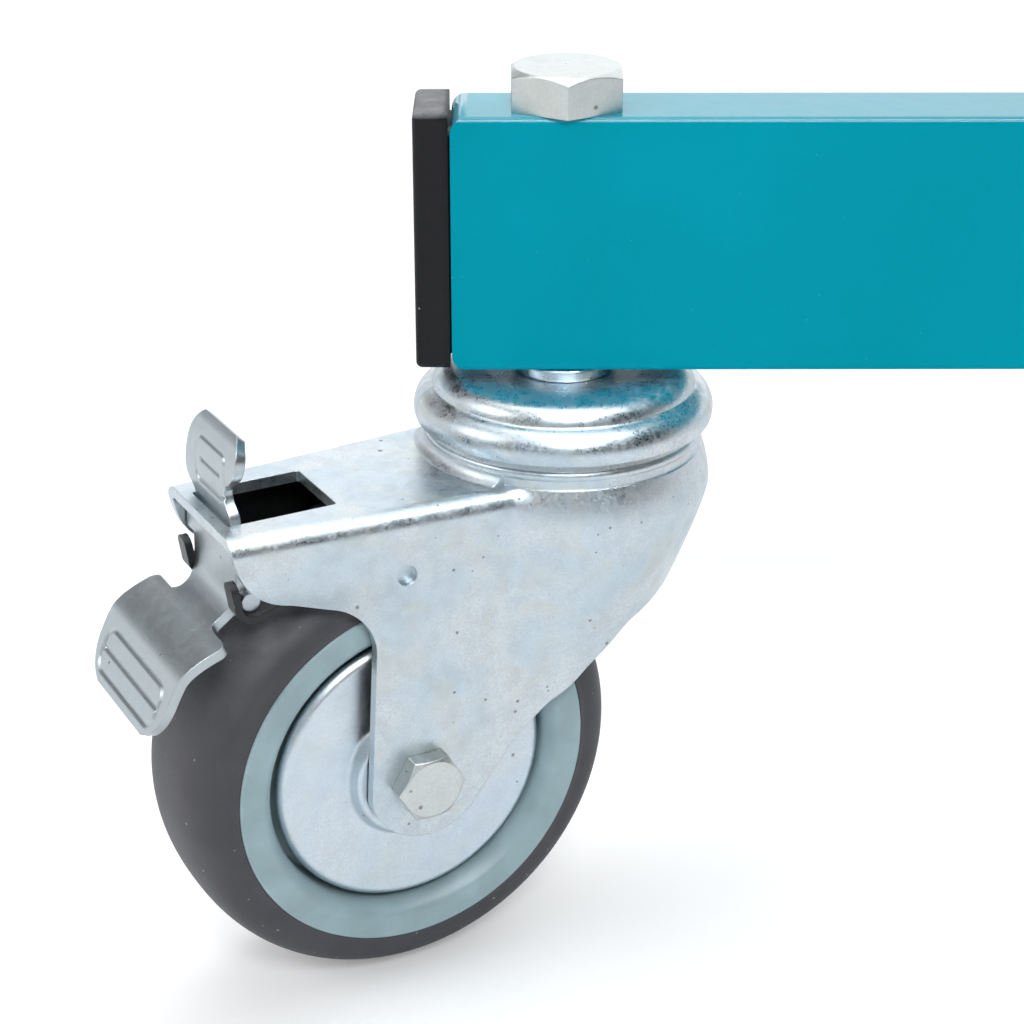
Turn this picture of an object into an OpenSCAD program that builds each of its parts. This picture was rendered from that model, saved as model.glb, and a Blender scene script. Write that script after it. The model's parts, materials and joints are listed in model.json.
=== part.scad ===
// Braked swivel castor bolted through the end of a desk's rectangular foot rail.
// Millimetres, +Z up, +X along the rail towards the rest of the desk.
// The origin is the centre of the rail's open end, where the desk's frame carries it.
// A castor piece is drawn with X pointing from the swivel axis to the wheel, Y towards
// the bolt-head side of the axle and Z = 0 at the underside of the rail.

/* [Foot rail] */
// Height of the rectangular tube
rail_h = 40; // [30:1:60]
// Width of the rectangular tube
rail_w = 16; // [14:0.5:30]
// Wall of the tube
rail_wall = 1.5; // [1:0.1:2.5]
// Outer corner radius of the tube
rail_corner = 1; // [0.8:0.1:3]
// Rounding of the tube's sawn end, seen from the side
rail_end_round = 2.6; // [1:0.1:4]
// Distance from the castor bolt to the rail's open end
rail_reach = 100; // [60:5:400]
// Distance from the castor bolt to the capped end
rail_overhang = 17.45; // [15:0.05:40]

/* [End cap] */
// Thickness of the cap's outer plate
cap_t = 5.3; // [3:0.1:8]
// Rounding of the cap's outer edges
cap_round = 1; // [0.6:0.1:2.4]
// How much lower the cap's plate is than the tube, at its foot
cap_foot_drop = 0.4; // [0:0.1:1.5]
// How far the cap's plate stands above the tube
cap_rise = 0.6; // [0:0.1:1]
// Depth that the cap's plug reaches into the tube
plug_len = 12; // [6:0.5:12]
// Wall of the hollow plug
plug_wall = 1.4; // [1:0.1:2]
// Gap that shows between the cap's plate and the tube
cap_gap = 0.3; // [0.2:0.1:1]

/* [Castor bolt] */
// Thread diameter of the bolt through the rail
bolt_d = 10; // [8:1:12]
// Width across the flats of the bolt's head and nut
bolt_flats = 16.6; // [13:0.1:19]
// Height of the bolt's head
bolt_head_h = 6; // [5:0.1:8]
// Height of the castor nut
bolt_nut_h = 8; // [6:0.1:10]
// Thickness of the washer under the nut
washer_t = 1.6; // [1:0.1:2.5]
// Outer diameter of the washer under the nut
washer_d = 20; // [17:0.5:22]
// Thread that stands out below the nut
bolt_end = 2.4; // [1:0.1:4]

/* [Swivel head] */
// Outer radius of the kingpin tube
kingpin_r = 6.6; // [6.2:0.1:7]
// Radius of the kingpin's collar under the rail
collar_r = 8.1; // [7.5:0.1:9]
// Height of the collar
collar_t = 2; // [1.5:0.1:3]
// Thickness of the kingpin's flared foot
flare_t = 1.5; // [1:0.1:2]
// Radius of the kingpin's flared foot
flare_r = 8.6; // [8:0.1:10]
// Largest radius of the upper race cap
race_cap_r = 23.8; // [23.4:0.1:25]
// Sheet thickness of the upper race cap
race_cap_t = 1.6; // [1.2:0.1:1.8]
// Radius of the crease round the upper race cap
crease_r = 20.9; // [20:0.1:21.5]
// Radius of the swivel balls
ball_r = 2.25; // [2:0.05:2.4]
// Radius of the circle that the upper balls roll on
upper_track_r = 15; // [14:0.1:15.8]
// Radius of the circle that the lower balls roll on
lower_track_r = 11.4; // [11.2:0.1:11.8]
// Number of upper balls
upper_balls_n = 18; // [12:1:20]
// Number of lower balls
lower_balls_n = 14; // [10:1:14]
// Thickness of the lower race cup
lower_race_t = 1.8; // [1.4:0.1:2.2]
// Thickness of the swivel lock ring
lock_ring_t = 1.6; // [1.2:0.1:1.8]
// Radius of the swivel lock ring
lock_ring_r = 16.5; // [16:0.1:17]
// Number of notches round the swivel lock ring
lock_notches = 24; // [12:12:24]

/* [Fork] */
// Angle from the rail's capped end to the fork's arm, seen from above
fork_turn = 28.3; // [0:0.1:90]
// Sheet thickness of the fork
fork_t = 1.8; // [1.6:0.1:2.2]
// Depth of the arm's top plate below the rail
arm_top = 14; // [13.8:0.1:15]
// Distance from the swivel axis to the arm's outer end
arm_end = 62.5; // [60:0.1:66]
// Half width of the arm at its outer end
arm_end_half = 13.1; // [13:0.1:14]
// Half width of the legs at the axle
leg_half = 15.7; // [15.5:0.05:16.5]
// Outer bend radius of the sheet along the arm
bend_r = 3; // [2.4:0.1:3.6]
// Radius of the fork's crown under the race cap
crown_r = 22.3; // [22:0.1:22.6]
// Horizontal distance from the swivel axis to the axle
axle_offset = 33.4; // [33:0.1:34.5]
// Depth of the tread's highest point below the rail
tread_depth = 22.85; // [22.5:0.05:24]
// Radius of the legs' rounded ends
leg_end_r = 10.1; // [8:0.1:11]
// Distance from the swivel axis to the window's inner end
window_start = 43.1; // [40:0.1:48]
// Length of the window in the arm's top plate
window_len = 17.6; // [17:0.1:18]
// Half width of the window
window_half = 7.2; // [6.5:0.1:8]
// Radius of the pressed dimples that carry the brake plate
dimple_r = 1.6; // [1.2:0.05:1.7]

/* [Wheel] */
// Thickness of the tread's rubber at its crown
tread_t = 7.5; // [7:0.1:8]
// Half width of the wheel across its rim
rim_half = 13.1; // [12:0.1:13.2]
// Half width of the tread at its shoulders
tread_half = 12.4; // [11:0.1:12.9]
// Drop of the tread's shoulders below its crown
crown_drop = 6.5; // [2:0.1:7]
// Radius where the tread meets the rim
rim_r = 30; // [29:0.1:31]
// Width of the rim's flat face
rim_face_w = 4.4; // [4:0.1:5]
// Width of the bevel inside the rim's face
bevel_w = 1.6; // [1:0.1:2]
// Thickness of the wheel's web
web_t = 5; // [4:0.1:8]
// Radius of the wheel's hub
hub_r = 11; // [10:0.1:13]

/* [Axle] */
// Thread diameter of the axle bolt
axle_d = 6; // [5:0.5:6]
// Width across the flats of the axle bolt's head and nut
axle_flats = 10; // [8:0.1:11]
// Height of the axle bolt's head
axle_head_h = 3.2; // [3:0.1:5]
// Height of the axle nut
axle_nut_h = 5; // [4:0.1:6]
// Outer radius of the axle tube
axle_tube_r = 4; // [3.7:0.1:4.3]
// Outer radius of the wheel bearings
bearing_r = 8.5; // [8:0.1:9]
// Width of a wheel bearing
bearing_w = 5; // [4:0.1:5.5]
// Number of balls in a wheel bearing
bearing_balls_n = 9; // [6:1:9]
// Gap round the thread guards, inside the rim
guard_gap = 1; // [0.6:0.1:2]
// Sheet thickness of the thread guards
guard_t = 0.8; // [0.6:0.1:1]
// Radius of the raised middle of a thread guard
guard_boss_r = 10.4; // [10:0.1:13]

/* [Brake] */
// Thickness of the brake pedal's sheet
pedal_t = 1.6; // [1.2:0.1:1.8]
// Half width of the pedal's foot pad
pad_half = 14.2; // [11:0.1:15]
// Length of the pedal's foot pad down its slope
pad_len = 9.5; // [8:0.1:11]
// Slope of the foot pad below the horizontal
pad_slope = 65; // [55:1:75]
// Half width of the release tab
tab_half = 10; // [8.5:0.1:12]
// Height of the release tab's top over the underside of the rail, negative below it
tab_top = -0.5; // [-4:0.1:-0.4]
// Half width of the pedal's neck
neck_half = 7; // [6.5:0.1:7.5]
// Thickness of the brake plate's sheet
plate_t = 1.2; // [1:0.1:1.4]
// Half width of the brake plate
plate_half = 7; // [5:0.1:8]

/* [Hidden] */

// Resolution of round shapes and of curves inside hulls
fine = 96;
soft = 32;
// Overrun of every cut beyond the faces that it opens
over = 1;
// Clearance between parts of one body that only touch
snug = 0.05;
// Radial clearance of a rolling ball in its groove
roll = 0.05;
// Clearance between parts that move past each other
free = 0.3;

// Castor bolt and what it passes through
bolt_play = 0.25;
bolt_hole_r = bolt_d / 2 + bolt_play;
kingpin_bore_r = bolt_d / 2 + bolt_play;
hex_to_round = 1 / cos(30);
face_circle_share = 0.95;
bolt_tip_share = 0.8;

// The wheel's radius and the height from its axle to the underside of the rail
wheel_r = rim_r + tread_t;
axle_drop = tread_depth + wheel_r;

// Heights in the swivel head, from the underside of the rail down
groove_depth = 0.25;
race_cap_top = 1.5;
race_cap_under = race_cap_top + race_cap_t;
upper_ball_z = race_cap_under - groove_depth + ball_r;
crown_top = upper_ball_z + ball_r - groove_depth;
crown_under = crown_top + fork_t;
lower_ball_z = crown_under - groove_depth + ball_r;
lower_race_top = lower_ball_z + ball_r - groove_depth;
lower_race_under = lower_race_top + lower_race_t;
lock_ring_under = lower_race_under + lock_ring_t;
flare_under = lock_ring_under + flare_t;
washer_under = flare_under + washer_t;
nut_under = washer_under + bolt_nut_h;
bolt_tip = nut_under + bolt_end;

// Upper race cap: two bulges with a crease between them
bulge_r = 3.3;
band_r = 3.8;
band_z = 8.1;
lip_angle = 22;
lip_turn = 0.6;
cap_dish = 0.5;
cap_dish_r = 12.5;

// Lower race cup
lower_race_r = 15;
lower_rim_t = 0.8;
lower_rim_h = 1.9;
notch_r = 13.2;
notch_share = 0.62;

// Fork: crown, neck and the skirt that narrows to the flat legs
crown_hole_gap = 0.35;
crown_hole_r = lower_track_r - ball_r - crown_hole_gap;
shoulder_step = 1;
crown_shoulder_r = crown_r - shoulder_step;
crown_round = 1.6;
bead_rise = 2.1;
crown_bead_z = arm_top - bead_rise;
crown_bead_r = 0.9;
waist_step = 0.35;
crown_waist_r = crown_r - waist_step;
neck_swell = 1.2;
neck_r = crown_r + neck_swell;
neck_len = 6.5;
neck_d = arm_top + neck_len;
skirt_len = 36;
skirt_d = arm_top + skirt_len;
skirt_power = 1.2;
skirt_shift = 5.5;
blend_top = 2;
blend_low = 5;
arm_taper_share = 0.074;
flat_len = 8;
flare_top = arm_top + flat_len;
flare_len = 12;
flare_foot = flare_top + flare_len;
side_steps = 30;
bend_steps = 5;
// Depths of the rings that the sides are drawn through, as shares down to the legs' foot
ring_shares = [0, 0.04, 0.09, 0.14, 0.2, 0.27, 0.34, 0.41, 0.48, 0.56, 0.65, 1];
mouth_lean = 4.9;
mouth_len = 10.6;
mouth_low = arm_top + mouth_len;
mouth_round = 2;
crotch_r = 9;
crotch_out = 16.6;
crotch_x = axle_offset + crotch_out;
crotch_up = 24.3;
crotch_z = axle_drop - crotch_up;
leg_end_back = 0.8;
leg_end_x = axle_offset - leg_end_back;
axle_play = 0.1;
axle_hole_r = axle_d / 2 + axle_play;
dimple_out = 2;
dimple_x = axle_offset + dimple_out;
dimple_low = 1.5;
dimple_z = tread_depth + dimple_low;
dimple_len = 0.95;
dimple_dent = 1;
fillet_r = 2.4;
fillet_sink = 0.12;
// The legs' rear edge: shares of the axle's offset and of its drop
rear_edge_shares = [[-0.8, 0.1], [-0.8, 0.53], [-0.55, 0.56], [-0.36, 0.595],
                    [-0.175, 0.636], [-0.058, 0.663], [0.027, 0.709], [0.139, 0.765],
                    [0.237, 0.822], [0.349, 0.861], [0.439, 0.909], [0.544, 0.965],
                    [0.61, 1.01]];

// Wheel
rim_face_r = rim_r - rim_face_w;
rim_inner_r = rim_face_r - bevel_w;
guard_r = rim_inner_r - guard_gap;
crown_power = 2.5;
crown_steps = 16;
bevel_depth = 2.4;
web_share = 0.7;
bead_half = 4;
bead_step = 1.2;
bearing_in = 5.4;
bearing_y = rim_half - bearing_in;
hub_half = bearing_y + bearing_w / 2;
bearing_ball_r = 1.2;
bearing_track_r = (axle_tube_r + bearing_r) / 2;
bearing_wall = 1.25;
leg_inner = leg_half - fork_t;
tube_half = leg_inner - free;
guard_dish = 1.6;
guard_face = rim_half - guard_dish;
guard_step = 0.9;

// Brake: the plate turns on the fork's dimples, the pedal in the plate's hooks
hook_back = 3.9;
hook_x = arm_end - hook_back;
hook_z = 25.7;
lug_r = 1.5;
lug_inset = 1.2;
hook_r = lug_r + free + plate_t / 2;
hook_half_out = arm_end_half - fork_t;
hook_w = 3.4;
hook_strip_w = hook_w - free;
hook_half_in = hook_half_out - hook_w;
hook_tip_z = 21.8;
plate_tip_x = 13.6;
plate_flat_z = 18.6;
bar_x = 47;
bar_z = 23.4;
bar_len = 3.5;
bar_fall_share = 0.4;
strip_back = 4;
strip_x = hook_x - strip_back;
strip_z = 27.2;
tooth_w = 1.8;
tooth_len = 2.2;
tooth_top = lock_ring_under + free;
ear_t = 0.7;
ear_r = 2.2;
ear_play = 0.07;
ear_hole_r = dimple_r + ear_play;
shoe_x = 47.4;
shoe_z = 25.2;
shoe_len = 1.8;

// Pedal, by the face that looks away from the castor
face_out = 1.7;
face_x = hook_x + face_out;
crease_z = 26.3;
saddle_out = 7.8;
saddle_x = face_x + saddle_out;
saddle_low = 4.4;
saddle_z = crease_z + saddle_low;
knee_out = 5;
knee_x = saddle_x + knee_out;
knee_low = 3.9;
knee_z = saddle_z + knee_low;
tab_curl = 2.3;
mouth_half = hook_half_out - free;
mouth_drop = 1.5;
mouth_top = arm_top + fork_t + mouth_drop;
mouth_gap = 0.9;
mouth_foot = hook_tip_z - mouth_gap;
foot_gap = 0.15;
foot_half = window_half - foot_gap;
shoulder_out = 4.2;
shoulder_x = face_x + shoulder_out;
pad_round = 6;
shoulder_r = 1.6;
// The tab seen from the side: shares of its curl and of its height over the arm
tab_curl_shares = [[1, 1], [0.43, 0.89], [0.1, 0.65], [0, 0.25]];
// The tab seen from the front: shares of its half width and of its height over the arm
tab_edge_shares = [[-0.68, 0], [-0.7, 0.06], [-0.98, 0.17], [-1.02, 0.3], [-0.98, 0.5],
                   [-0.88, 0.72], [-0.78, 0.88], [-0.66, 0.98], [-0.6, 1], [0.6, 1],
                   [0.72, 0.96], [0.86, 0.88], [0.92, 0.76], [0.88, 0.62], [0.74, 0.5],
                   [0.52, 0.4], [0.46, 0.3], [0.54, 0.2], [0.7, 0.1], [0.72, 0]];

function arc(cx, cz, r, a0, a1, n) =
    [for (i = [0 : n]) [cx + r * cos(a0 + (a1 - a0) * i / n),
                        cz + r * sin(a0 + (a1 - a0) * i / n)]];

// Places a castor piece under the rail, turned with the fork
module at_swivel() {
    translate([-rail_reach, 0, -rail_h / 2]) children();
}

module in_fork() {
    at_swivel() rotate([0, 0, 180 + fork_turn]) children();
}

// Puts Z along the axle, pointing to the bolt-head side
module at_axle() {
    in_fork() translate([axle_offset, 0, -axle_drop]) rotate([-90, 0, 0]) children();
}

// Extrudes a side view drawn in X and Z across the fork
module across(half) {
    rotate([90, 0, 0]) linear_extrude(2 * half, center = true) children();
}

module round_rect(w, h, r) {
    square([w - 2 * r, h], center = true);
    square([w, h - 2 * r], center = true);
    for (x = [-1, 1], y = [-1, 1])
        translate([x * (w / 2 - r), y * (h / 2 - r)]) circle(r, $fn = fine);
}

// A hexagon with its outer corners cut back by a cone, as a bolt's head is
module hex_head(flats, h) {
    corner_r = flats / 2 * hex_to_round;
    chamfer = corner_r - flats / 2 * face_circle_share;
    intersection() {
        cylinder(r = corner_r, h = h, $fn = 6);
        rotate_extrude($fn = fine)
            polygon([[0, 0], [corner_r, 0], [corner_r, h - chamfer * tan(30)],
                     [corner_r - chamfer, h], [0, h]]);
    }
}

module ball_ring(track_r, r, count) {
    for (i = [0 : count - 1])
        rotate([0, 0, i * 360 / count]) translate([track_r, 0, 0]) sphere(r, $fn = soft);
}

module torus(track_r, r) {
    rotate_extrude($fn = fine) translate([track_r, 0]) circle(r, $fn = fine);
}

module foot_rail() {
    end_x = rail_reach + rail_overhang;
    color([0.0, 0.61, 0.7])
    difference() {
        intersection() {
            rotate([90, 0, -90]) linear_extrude(end_x) round_rect(rail_w, rail_h, rail_corner);
            rail_side();
        }
        translate([over, 0, 0]) rotate([90, 0, -90]) linear_extrude(end_x + 2 * over)
            round_rect(rail_w - 2 * rail_wall, rail_h - 2 * rail_wall,
                       max(rail_corner - rail_wall, rail_wall / 10));
        translate([-rail_reach, 0, 0])
            cylinder(r = bolt_hole_r, h = rail_h + 2 * over, center = true, $fn = fine);
    }
}

// The rail seen from the side: square at its open end, rounded at its capped end
module rail_side() {
    end_x = rail_reach + rail_overhang;
    across(rail_w) {
        translate([rail_end_round - end_x, -rail_h / 2]) square([end_x - rail_end_round, rail_h]);
        translate([-end_x, rail_end_round - rail_h / 2])
            square([end_x, rail_h - 2 * rail_end_round]);
        for (z = [-1, 1]) translate([rail_end_round - end_x, z * (rail_h / 2 - rail_end_round)])
            circle(rail_end_round, $fn = fine);
    }
}

module rail_end_cap() {
    face_x = -rail_reach - rail_overhang - cap_gap;
    low = -rail_h / 2 + cap_foot_drop;
    high = rail_h / 2 + cap_rise;
    plug_w = rail_w - 2 * rail_wall - 2 * snug;
    plug_h = rail_h - 2 * rail_wall - 2 * snug;
    seat_w = rail_w - rail_wall;
    color([0.12, 0.12, 0.13]) {
        hull() {
            for (y = [-1, 1], z = [low + cap_round, high - cap_round]) {
                translate([face_x - cap_t + cap_round, y * (rail_w / 2 - cap_round), z])
                    sphere(cap_round, $fn = soft);
                translate([face_x - cap_t / 4, y * (rail_w / 2 - cap_round), z])
                    rotate([0, 90, 0]) cylinder(r = cap_round, h = cap_t / 4, $fn = soft);
            }
        }
        translate([face_x, 0, 0]) rotate([90, 0, 90]) linear_extrude(cap_gap)
            round_rect(seat_w, rail_h - 2 * rail_end_round, rail_corner / 2);
        difference() {
            translate([face_x, 0, 0]) rotate([90, 0, 90]) linear_extrude(cap_gap + plug_len)
                round_rect(plug_w - 2 * plug_wall / 2, plug_h - 2 * plug_wall / 2, plug_wall / 2);
            translate([face_x + cap_gap, 0, 0]) rotate([90, 0, 90]) linear_extrude(plug_len + over)
                square([plug_w - 3 * plug_wall, plug_h - 3 * plug_wall], center = true);
        }
        // Barbs that grip the inside of the tube
        for (i = [1 : 3]) translate([face_x + cap_gap + i * plug_len / 4, 0, 0])
            difference() {
                rotate([90, 0, 90]) linear_extrude(plug_wall / 2)
                    round_rect(plug_w, plug_h, plug_wall / 4);
                translate([-over, 0, 0]) rotate([90, 0, 90]) linear_extrude(plug_wall + 2 * over)
                    square([plug_w - 3 * plug_wall, plug_h - 3 * plug_wall], center = true);
            }
    }
}

module castor_bolt() {
    color([0.78, 0.79, 0.77]) at_swivel() {
        translate([0, 0, rail_h]) rotate([0, 0, 30])
            hex_head(bolt_flats, bolt_head_h);
        translate([0, 0, -bolt_tip + bolt_d / 10])
            cylinder(d = bolt_d, h = rail_h + bolt_tip - bolt_d / 10, $fn = fine);
        translate([0, 0, -bolt_tip])
            cylinder(d1 = bolt_d * bolt_tip_share, d2 = bolt_d, h = bolt_d / 10, $fn = fine);
    }
}

module bolt_washer() {
    color([0.75, 0.76, 0.77]) at_swivel() translate([0, 0, -washer_under]) difference() {
        cylinder(d = washer_d, h = washer_t, $fn = fine);
        translate([0, 0, -over])
            cylinder(r = bolt_hole_r, h = washer_t + 2 * over, $fn = fine);
    }
}

module castor_nut() {
    color([0.75, 0.76, 0.77]) at_swivel() translate([0, 0, -nut_under]) difference() {
        hex_head(bolt_flats, bolt_nut_h);
        translate([0, 0, -over])
            cylinder(r = bolt_d / 2 + snug, h = bolt_nut_h + 2 * over, $fn = fine);
    }
}

// Hollow rivet that holds the races together and lets the bolt through
module kingpin() {
    edge = collar_t / 4;
    color([0.7, 0.71, 0.72]) at_swivel() rotate_extrude($fn = fine)
        polygon([[kingpin_bore_r, 0], [collar_r - edge, 0], [collar_r, -edge],
                 [collar_r, -collar_t + edge], [collar_r - edge, -collar_t],
                 [kingpin_r, -collar_t], [kingpin_r, -lock_ring_under],
                 [flare_r, -lock_ring_under], [flare_r, -flare_under + edge],
                 [flare_r - edge, -flare_under], [kingpin_bore_r, -flare_under]]);
}

// Pressed cap that carries the upper ball race: dish, upper bulge, crease, lower band, lip
module upper_race_cap() {
    bulge_x = crease_r - bulge_r;
    band_x = race_cap_r - band_r;
    crease_a = 12;
    band_a = 74;
    steps = 12;
    outer = concat([[kingpin_r + snug, -race_cap_top - cap_dish],
                    [cap_dish_r - cap_dish, -race_cap_top - cap_dish],
                    [cap_dish_r + cap_dish, -race_cap_top]],
                   arc(bulge_x, -race_cap_top - bulge_r, bulge_r, 90, crease_a, steps),
                   arc(band_x, -band_z, band_r, band_a, -lip_angle, steps));
    lip = outer[len(outer) - 1];
    inner = concat([[lip[0] - lip_turn, lip[1] - lip_turn / 2]],
                   arc(band_x, -band_z, band_r - race_cap_t, -lip_angle, 60, steps),
                   arc(bulge_x, -race_cap_top - bulge_r, bulge_r - race_cap_t, 30, 90, steps),
                   [[cap_dish_r + cap_dish, -race_cap_under],
                    [cap_dish_r, -race_cap_under - cap_dish],
                    [kingpin_r + snug, -race_cap_under - cap_dish]]);
    color([0.78, 0.8, 0.82]) at_swivel() difference() {
        rotate_extrude($fn = fine) polygon(concat(outer, inner));
        translate([0, 0, -upper_ball_z]) torus(upper_track_r, ball_r + roll);
    }
}

module upper_balls() {
    color([0.6, 0.6, 0.62]) at_swivel() translate([0, 0, -upper_ball_z])
        ball_ring(upper_track_r, ball_r, upper_balls_n);
}

module lower_balls() {
    color([0.6, 0.6, 0.62]) at_swivel() translate([0, 0, -lower_ball_z])
        ball_ring(lower_track_r, ball_r, lower_balls_n);
}

module lower_race_cup() {
    color([0.7, 0.71, 0.72]) at_swivel() difference() {
        rotate_extrude($fn = fine)
            polygon([[kingpin_r + snug, -lower_race_top], [lower_race_r - lower_rim_t, -lower_race_top],
                     [lower_race_r - lower_rim_t, -lower_race_top + lower_rim_h],
                     [lower_race_r, -lower_race_top + lower_rim_h], [lower_race_r, -lower_race_under],
                     [kingpin_r + snug, -lower_race_under]]);
        translate([0, 0, -lower_ball_z]) torus(lower_track_r, ball_r + roll);
    }
}

// Notched ring that the brake plate's tooth enters to stop the swivel
module swivel_lock_ring() {
    notch_w = 2 * PI * notch_r / lock_notches * notch_share;
    color([0.5, 0.5, 0.52]) at_swivel() rotate([0, 0, 180 + fork_turn])
        translate([0, 0, -lock_ring_under]) difference() {
            cylinder(r = lock_ring_r, h = lock_ring_t, $fn = fine);
            translate([0, 0, -over])
                cylinder(r = kingpin_r + snug, h = lock_ring_t + 2 * over, $fn = fine);
            for (i = [0 : lock_notches - 1]) rotate([0, 0, i * 360 / lock_notches])
                translate([notch_r, -notch_w / 2, -over])
                    cube([lock_ring_r, notch_w, lock_ring_t + 2 * over]);
        }
}

// The crown, sunk by inset: the race on top and a bead round its shoulder
module crown_solid(inset, foot) {
    shoulder = crown_shoulder_r - inset;
    top = -crown_top - inset;
    rotate_extrude($fn = fine)
        polygon(concat([[0, top]],
                       arc(shoulder - crown_round, top - crown_round, crown_round, 90, 0, 8),
                       arc(crown_r - crown_bead_r - inset, -crown_bead_z, crown_bead_r, 60, -60, 8),
                       [[crown_waist_r - inset, -arm_top], [crown_waist_r - inset, -foot],
                        [0, -foot]]));
}

// Half width of the arm's outside at a distance from the swivel axis
function arm_half(x) = arm_end_half + arm_taper_share * (arm_end - x);

function unit_clamp(v) = min(max(v, 0), 1);
function ease(v) = let (c = unit_clamp(v)) c * c * (3 - 2 * c);

// Half width of the sheet's flat side at x and at depth d under the rail
function panel_half(x, d) =
    leg_half + (arm_half(x) - leg_half) * (1 - ease((d - flare_top) / (flare_foot - flare_top)));

// The round neck and skirt: radius and centre of their circle at depth d
function skirt_fall(d) = pow(unit_clamp((d - neck_d) / (skirt_d - neck_d)), skirt_power);
function skirt_x(d) = skirt_shift * skirt_fall(d);
function skirt_r(d) = d < neck_d
    ? crown_r + (neck_r - crown_r) * sin(90 * unit_clamp((d - arm_top) / (neck_d - arm_top)))
    : neck_r - (neck_r - leg_half) * skirt_fall(d);

// How far a bend of radius r draws the side in at a depth under the arm's top
function bend_in(depth, r) = let (v = max(r - depth, 0)) r - sqrt(max(r * r - v * v, 0));

// The larger of two widths, with a fillet of size k where they are alike
function blend_max(a, b, k) = max(a, b) + pow(max(k - abs(a - b), 0), 2) / (4 * k);

// Half width of the fork, sunk by inset: round behind the swivel axis, flat along the arm
function side_half(x, d, inset) =
    let (r = skirt_r(d) - inset, c = skirt_x(d),
         drawn = inset + bend_in(d - arm_top - inset, bend_r - inset),
         k = blend_top + (blend_low - blend_top) * unit_clamp((d - arm_top) / (skirt_d - arm_top)))
    x < c ? blend_max(r, panel_half(c, d) - drawn, k) * sqrt(max(1 - pow((c - x) / r, 2), 0))
          : blend_max(sqrt(max(r * r - pow(x - c, 2), 0)), panel_half(x, d) - drawn, k);

function ring_depths(inset) =
    let (top = arm_top + inset, r = bend_r - inset, foot = axle_drop + 2 * leg_end_r)
    concat([for (i = [0 : bend_steps - 1]) top + r * (1 - cos(90 * i / bend_steps))],
           [for (share = ring_shares) top + r + share * (foot - top - r)]);

// One ring round the fork at depth d, closer spaced round the back
function fork_ring(d, inset) =
    let (x0 = skirt_x(d) - skirt_r(d) + inset, x1 = arm_end + bend_r + inset,
         xs = [for (i = [1 : side_steps]) x0 + (x1 - x0) * pow(i / side_steps, 2)])
    concat([[x0, 0, -d]], [for (x = xs) [x, side_half(x, d, inset), -d]],
           [for (i = [side_steps - 1 : -1 : 0]) [xs[i], -side_half(xs[i], d, inset), -d]]);

// Arm, neck, skirt and legs as one solid, sunk on every side by inset
module fork_solid(inset) {
    depths = ring_depths(inset);
    n = 2 * side_steps + 1;
    last = (len(depths) - 1) * n;
    polyhedron(points = [for (d = depths) each fork_ring(d, inset)],
               faces = concat([[for (j = [0 : n - 1]) j]],
                              [for (i = [0 : len(depths) - 2], j = [0 : n - 1])
                                  let (k = (j + 1) % n, a = i * n, b = a + n)
                                  each [[a + j, b + j, b + k], [a + j, b + k, a + k]]],
                              [[for (j = [n - 1 : -1 : 0]) last + j]]),
               convexity = 6);
}

// Side view of the fork: rear edge, rounded leg end, crotch, arm and mouth
module fork_side() {
    polygon(concat([for (p = rear_edge_shares) [p[0] * axle_offset, -p[1] * axle_drop]],
                   arc(leg_end_x, -axle_drop, leg_end_r, 212, 348, 18),
                   arc(crotch_x, -crotch_z, crotch_r, 180, 104, 12),
                   [[arm_end - mouth_lean - mouth_round, -mouth_low - mouth_round / 5],
                    [arm_end - mouth_lean, -mouth_low + mouth_round / 3],
                    [arm_end - mouth_lean / 4, -arm_top - 3 * fork_t],
                    [arm_end, -arm_top - 2 * fork_t], [arm_end, 0],
                    [rear_edge_shares[0][0] * axle_offset, 0]]));
}

// Fillet where the arm's top plate runs up to the crown
module neck_fillet() {
    foot = crown_r + fillet_r;
    intersection() {
        rotate_extrude($fn = fine) difference() {
            translate([crown_r - fork_t, -arm_top - fork_t / 2])
                square([fork_t + fillet_r, fillet_r + fork_t / 2]);
            translate([foot, -arm_top + fillet_r - fillet_sink]) circle(fillet_r, $fn = fine);
            translate([crown_r - fork_t - over, -crown_bead_z - crown_bead_r / 2])
                square([fillet_r + fork_t + over, 2 * fillet_r]);
        }
        translate([0, bend_r - arm_half(foot), -2 * arm_top])
            cube([foot, 2 * arm_half(foot) - 2 * bend_r, 2 * arm_top]);
    }
}

module swivel_fork() {
    wall_y = panel_half(dimple_x, dimple_z) - fork_t;
    color([0.76, 0.79, 0.81]) in_fork() difference() {
        union() {
            difference() {
                union() {
                    intersection() {
                        union() {
                            fork_solid(0);
                            neck_fillet();
                        }
                        across(2 * neck_r) fork_side();
                    }
                    crown_solid(0, arm_top + fork_t);
                }
                fork_solid(fork_t);
                crown_solid(fork_t, arm_top + 2 * fork_t);
            }
            for (y = [-1, 1]) translate([dimple_x, y * wall_y, -dimple_z]) rotate([-90 * y, 0, 0])
                translate([0, 0, -dimple_len])
                    cylinder(r = dimple_r, h = dimple_len + fork_t / 2, $fn = fine);
        }
        translate([0, 0, -crown_under - over])
            cylinder(r = crown_hole_r, h = crown_under, $fn = fine);
        translate([0, 0, -upper_ball_z]) torus(upper_track_r, ball_r + roll);
        translate([0, 0, -lower_ball_z]) torus(lower_track_r, ball_r + roll);
        translate([window_start, -window_half, -arm_top - 2 * fork_t])
            cube([window_len, 2 * window_half, 4 * fork_t]);
        translate([axle_offset, 0, -axle_drop]) rotate([90, 0, 0])
            cylinder(r = axle_hole_r, h = 4 * leg_half, center = true, $fn = fine);
        // Dents on the outside of the dimples
        for (y = [-1, 1]) translate([dimple_x, y * (wall_y + fork_t), -dimple_z])
            rotate([-90 * y, 0, 0]) translate([0, 0, -dimple_dent])
                cylinder(r = dimple_r, h = dimple_dent + over, $fn = fine);
    }
}

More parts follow.
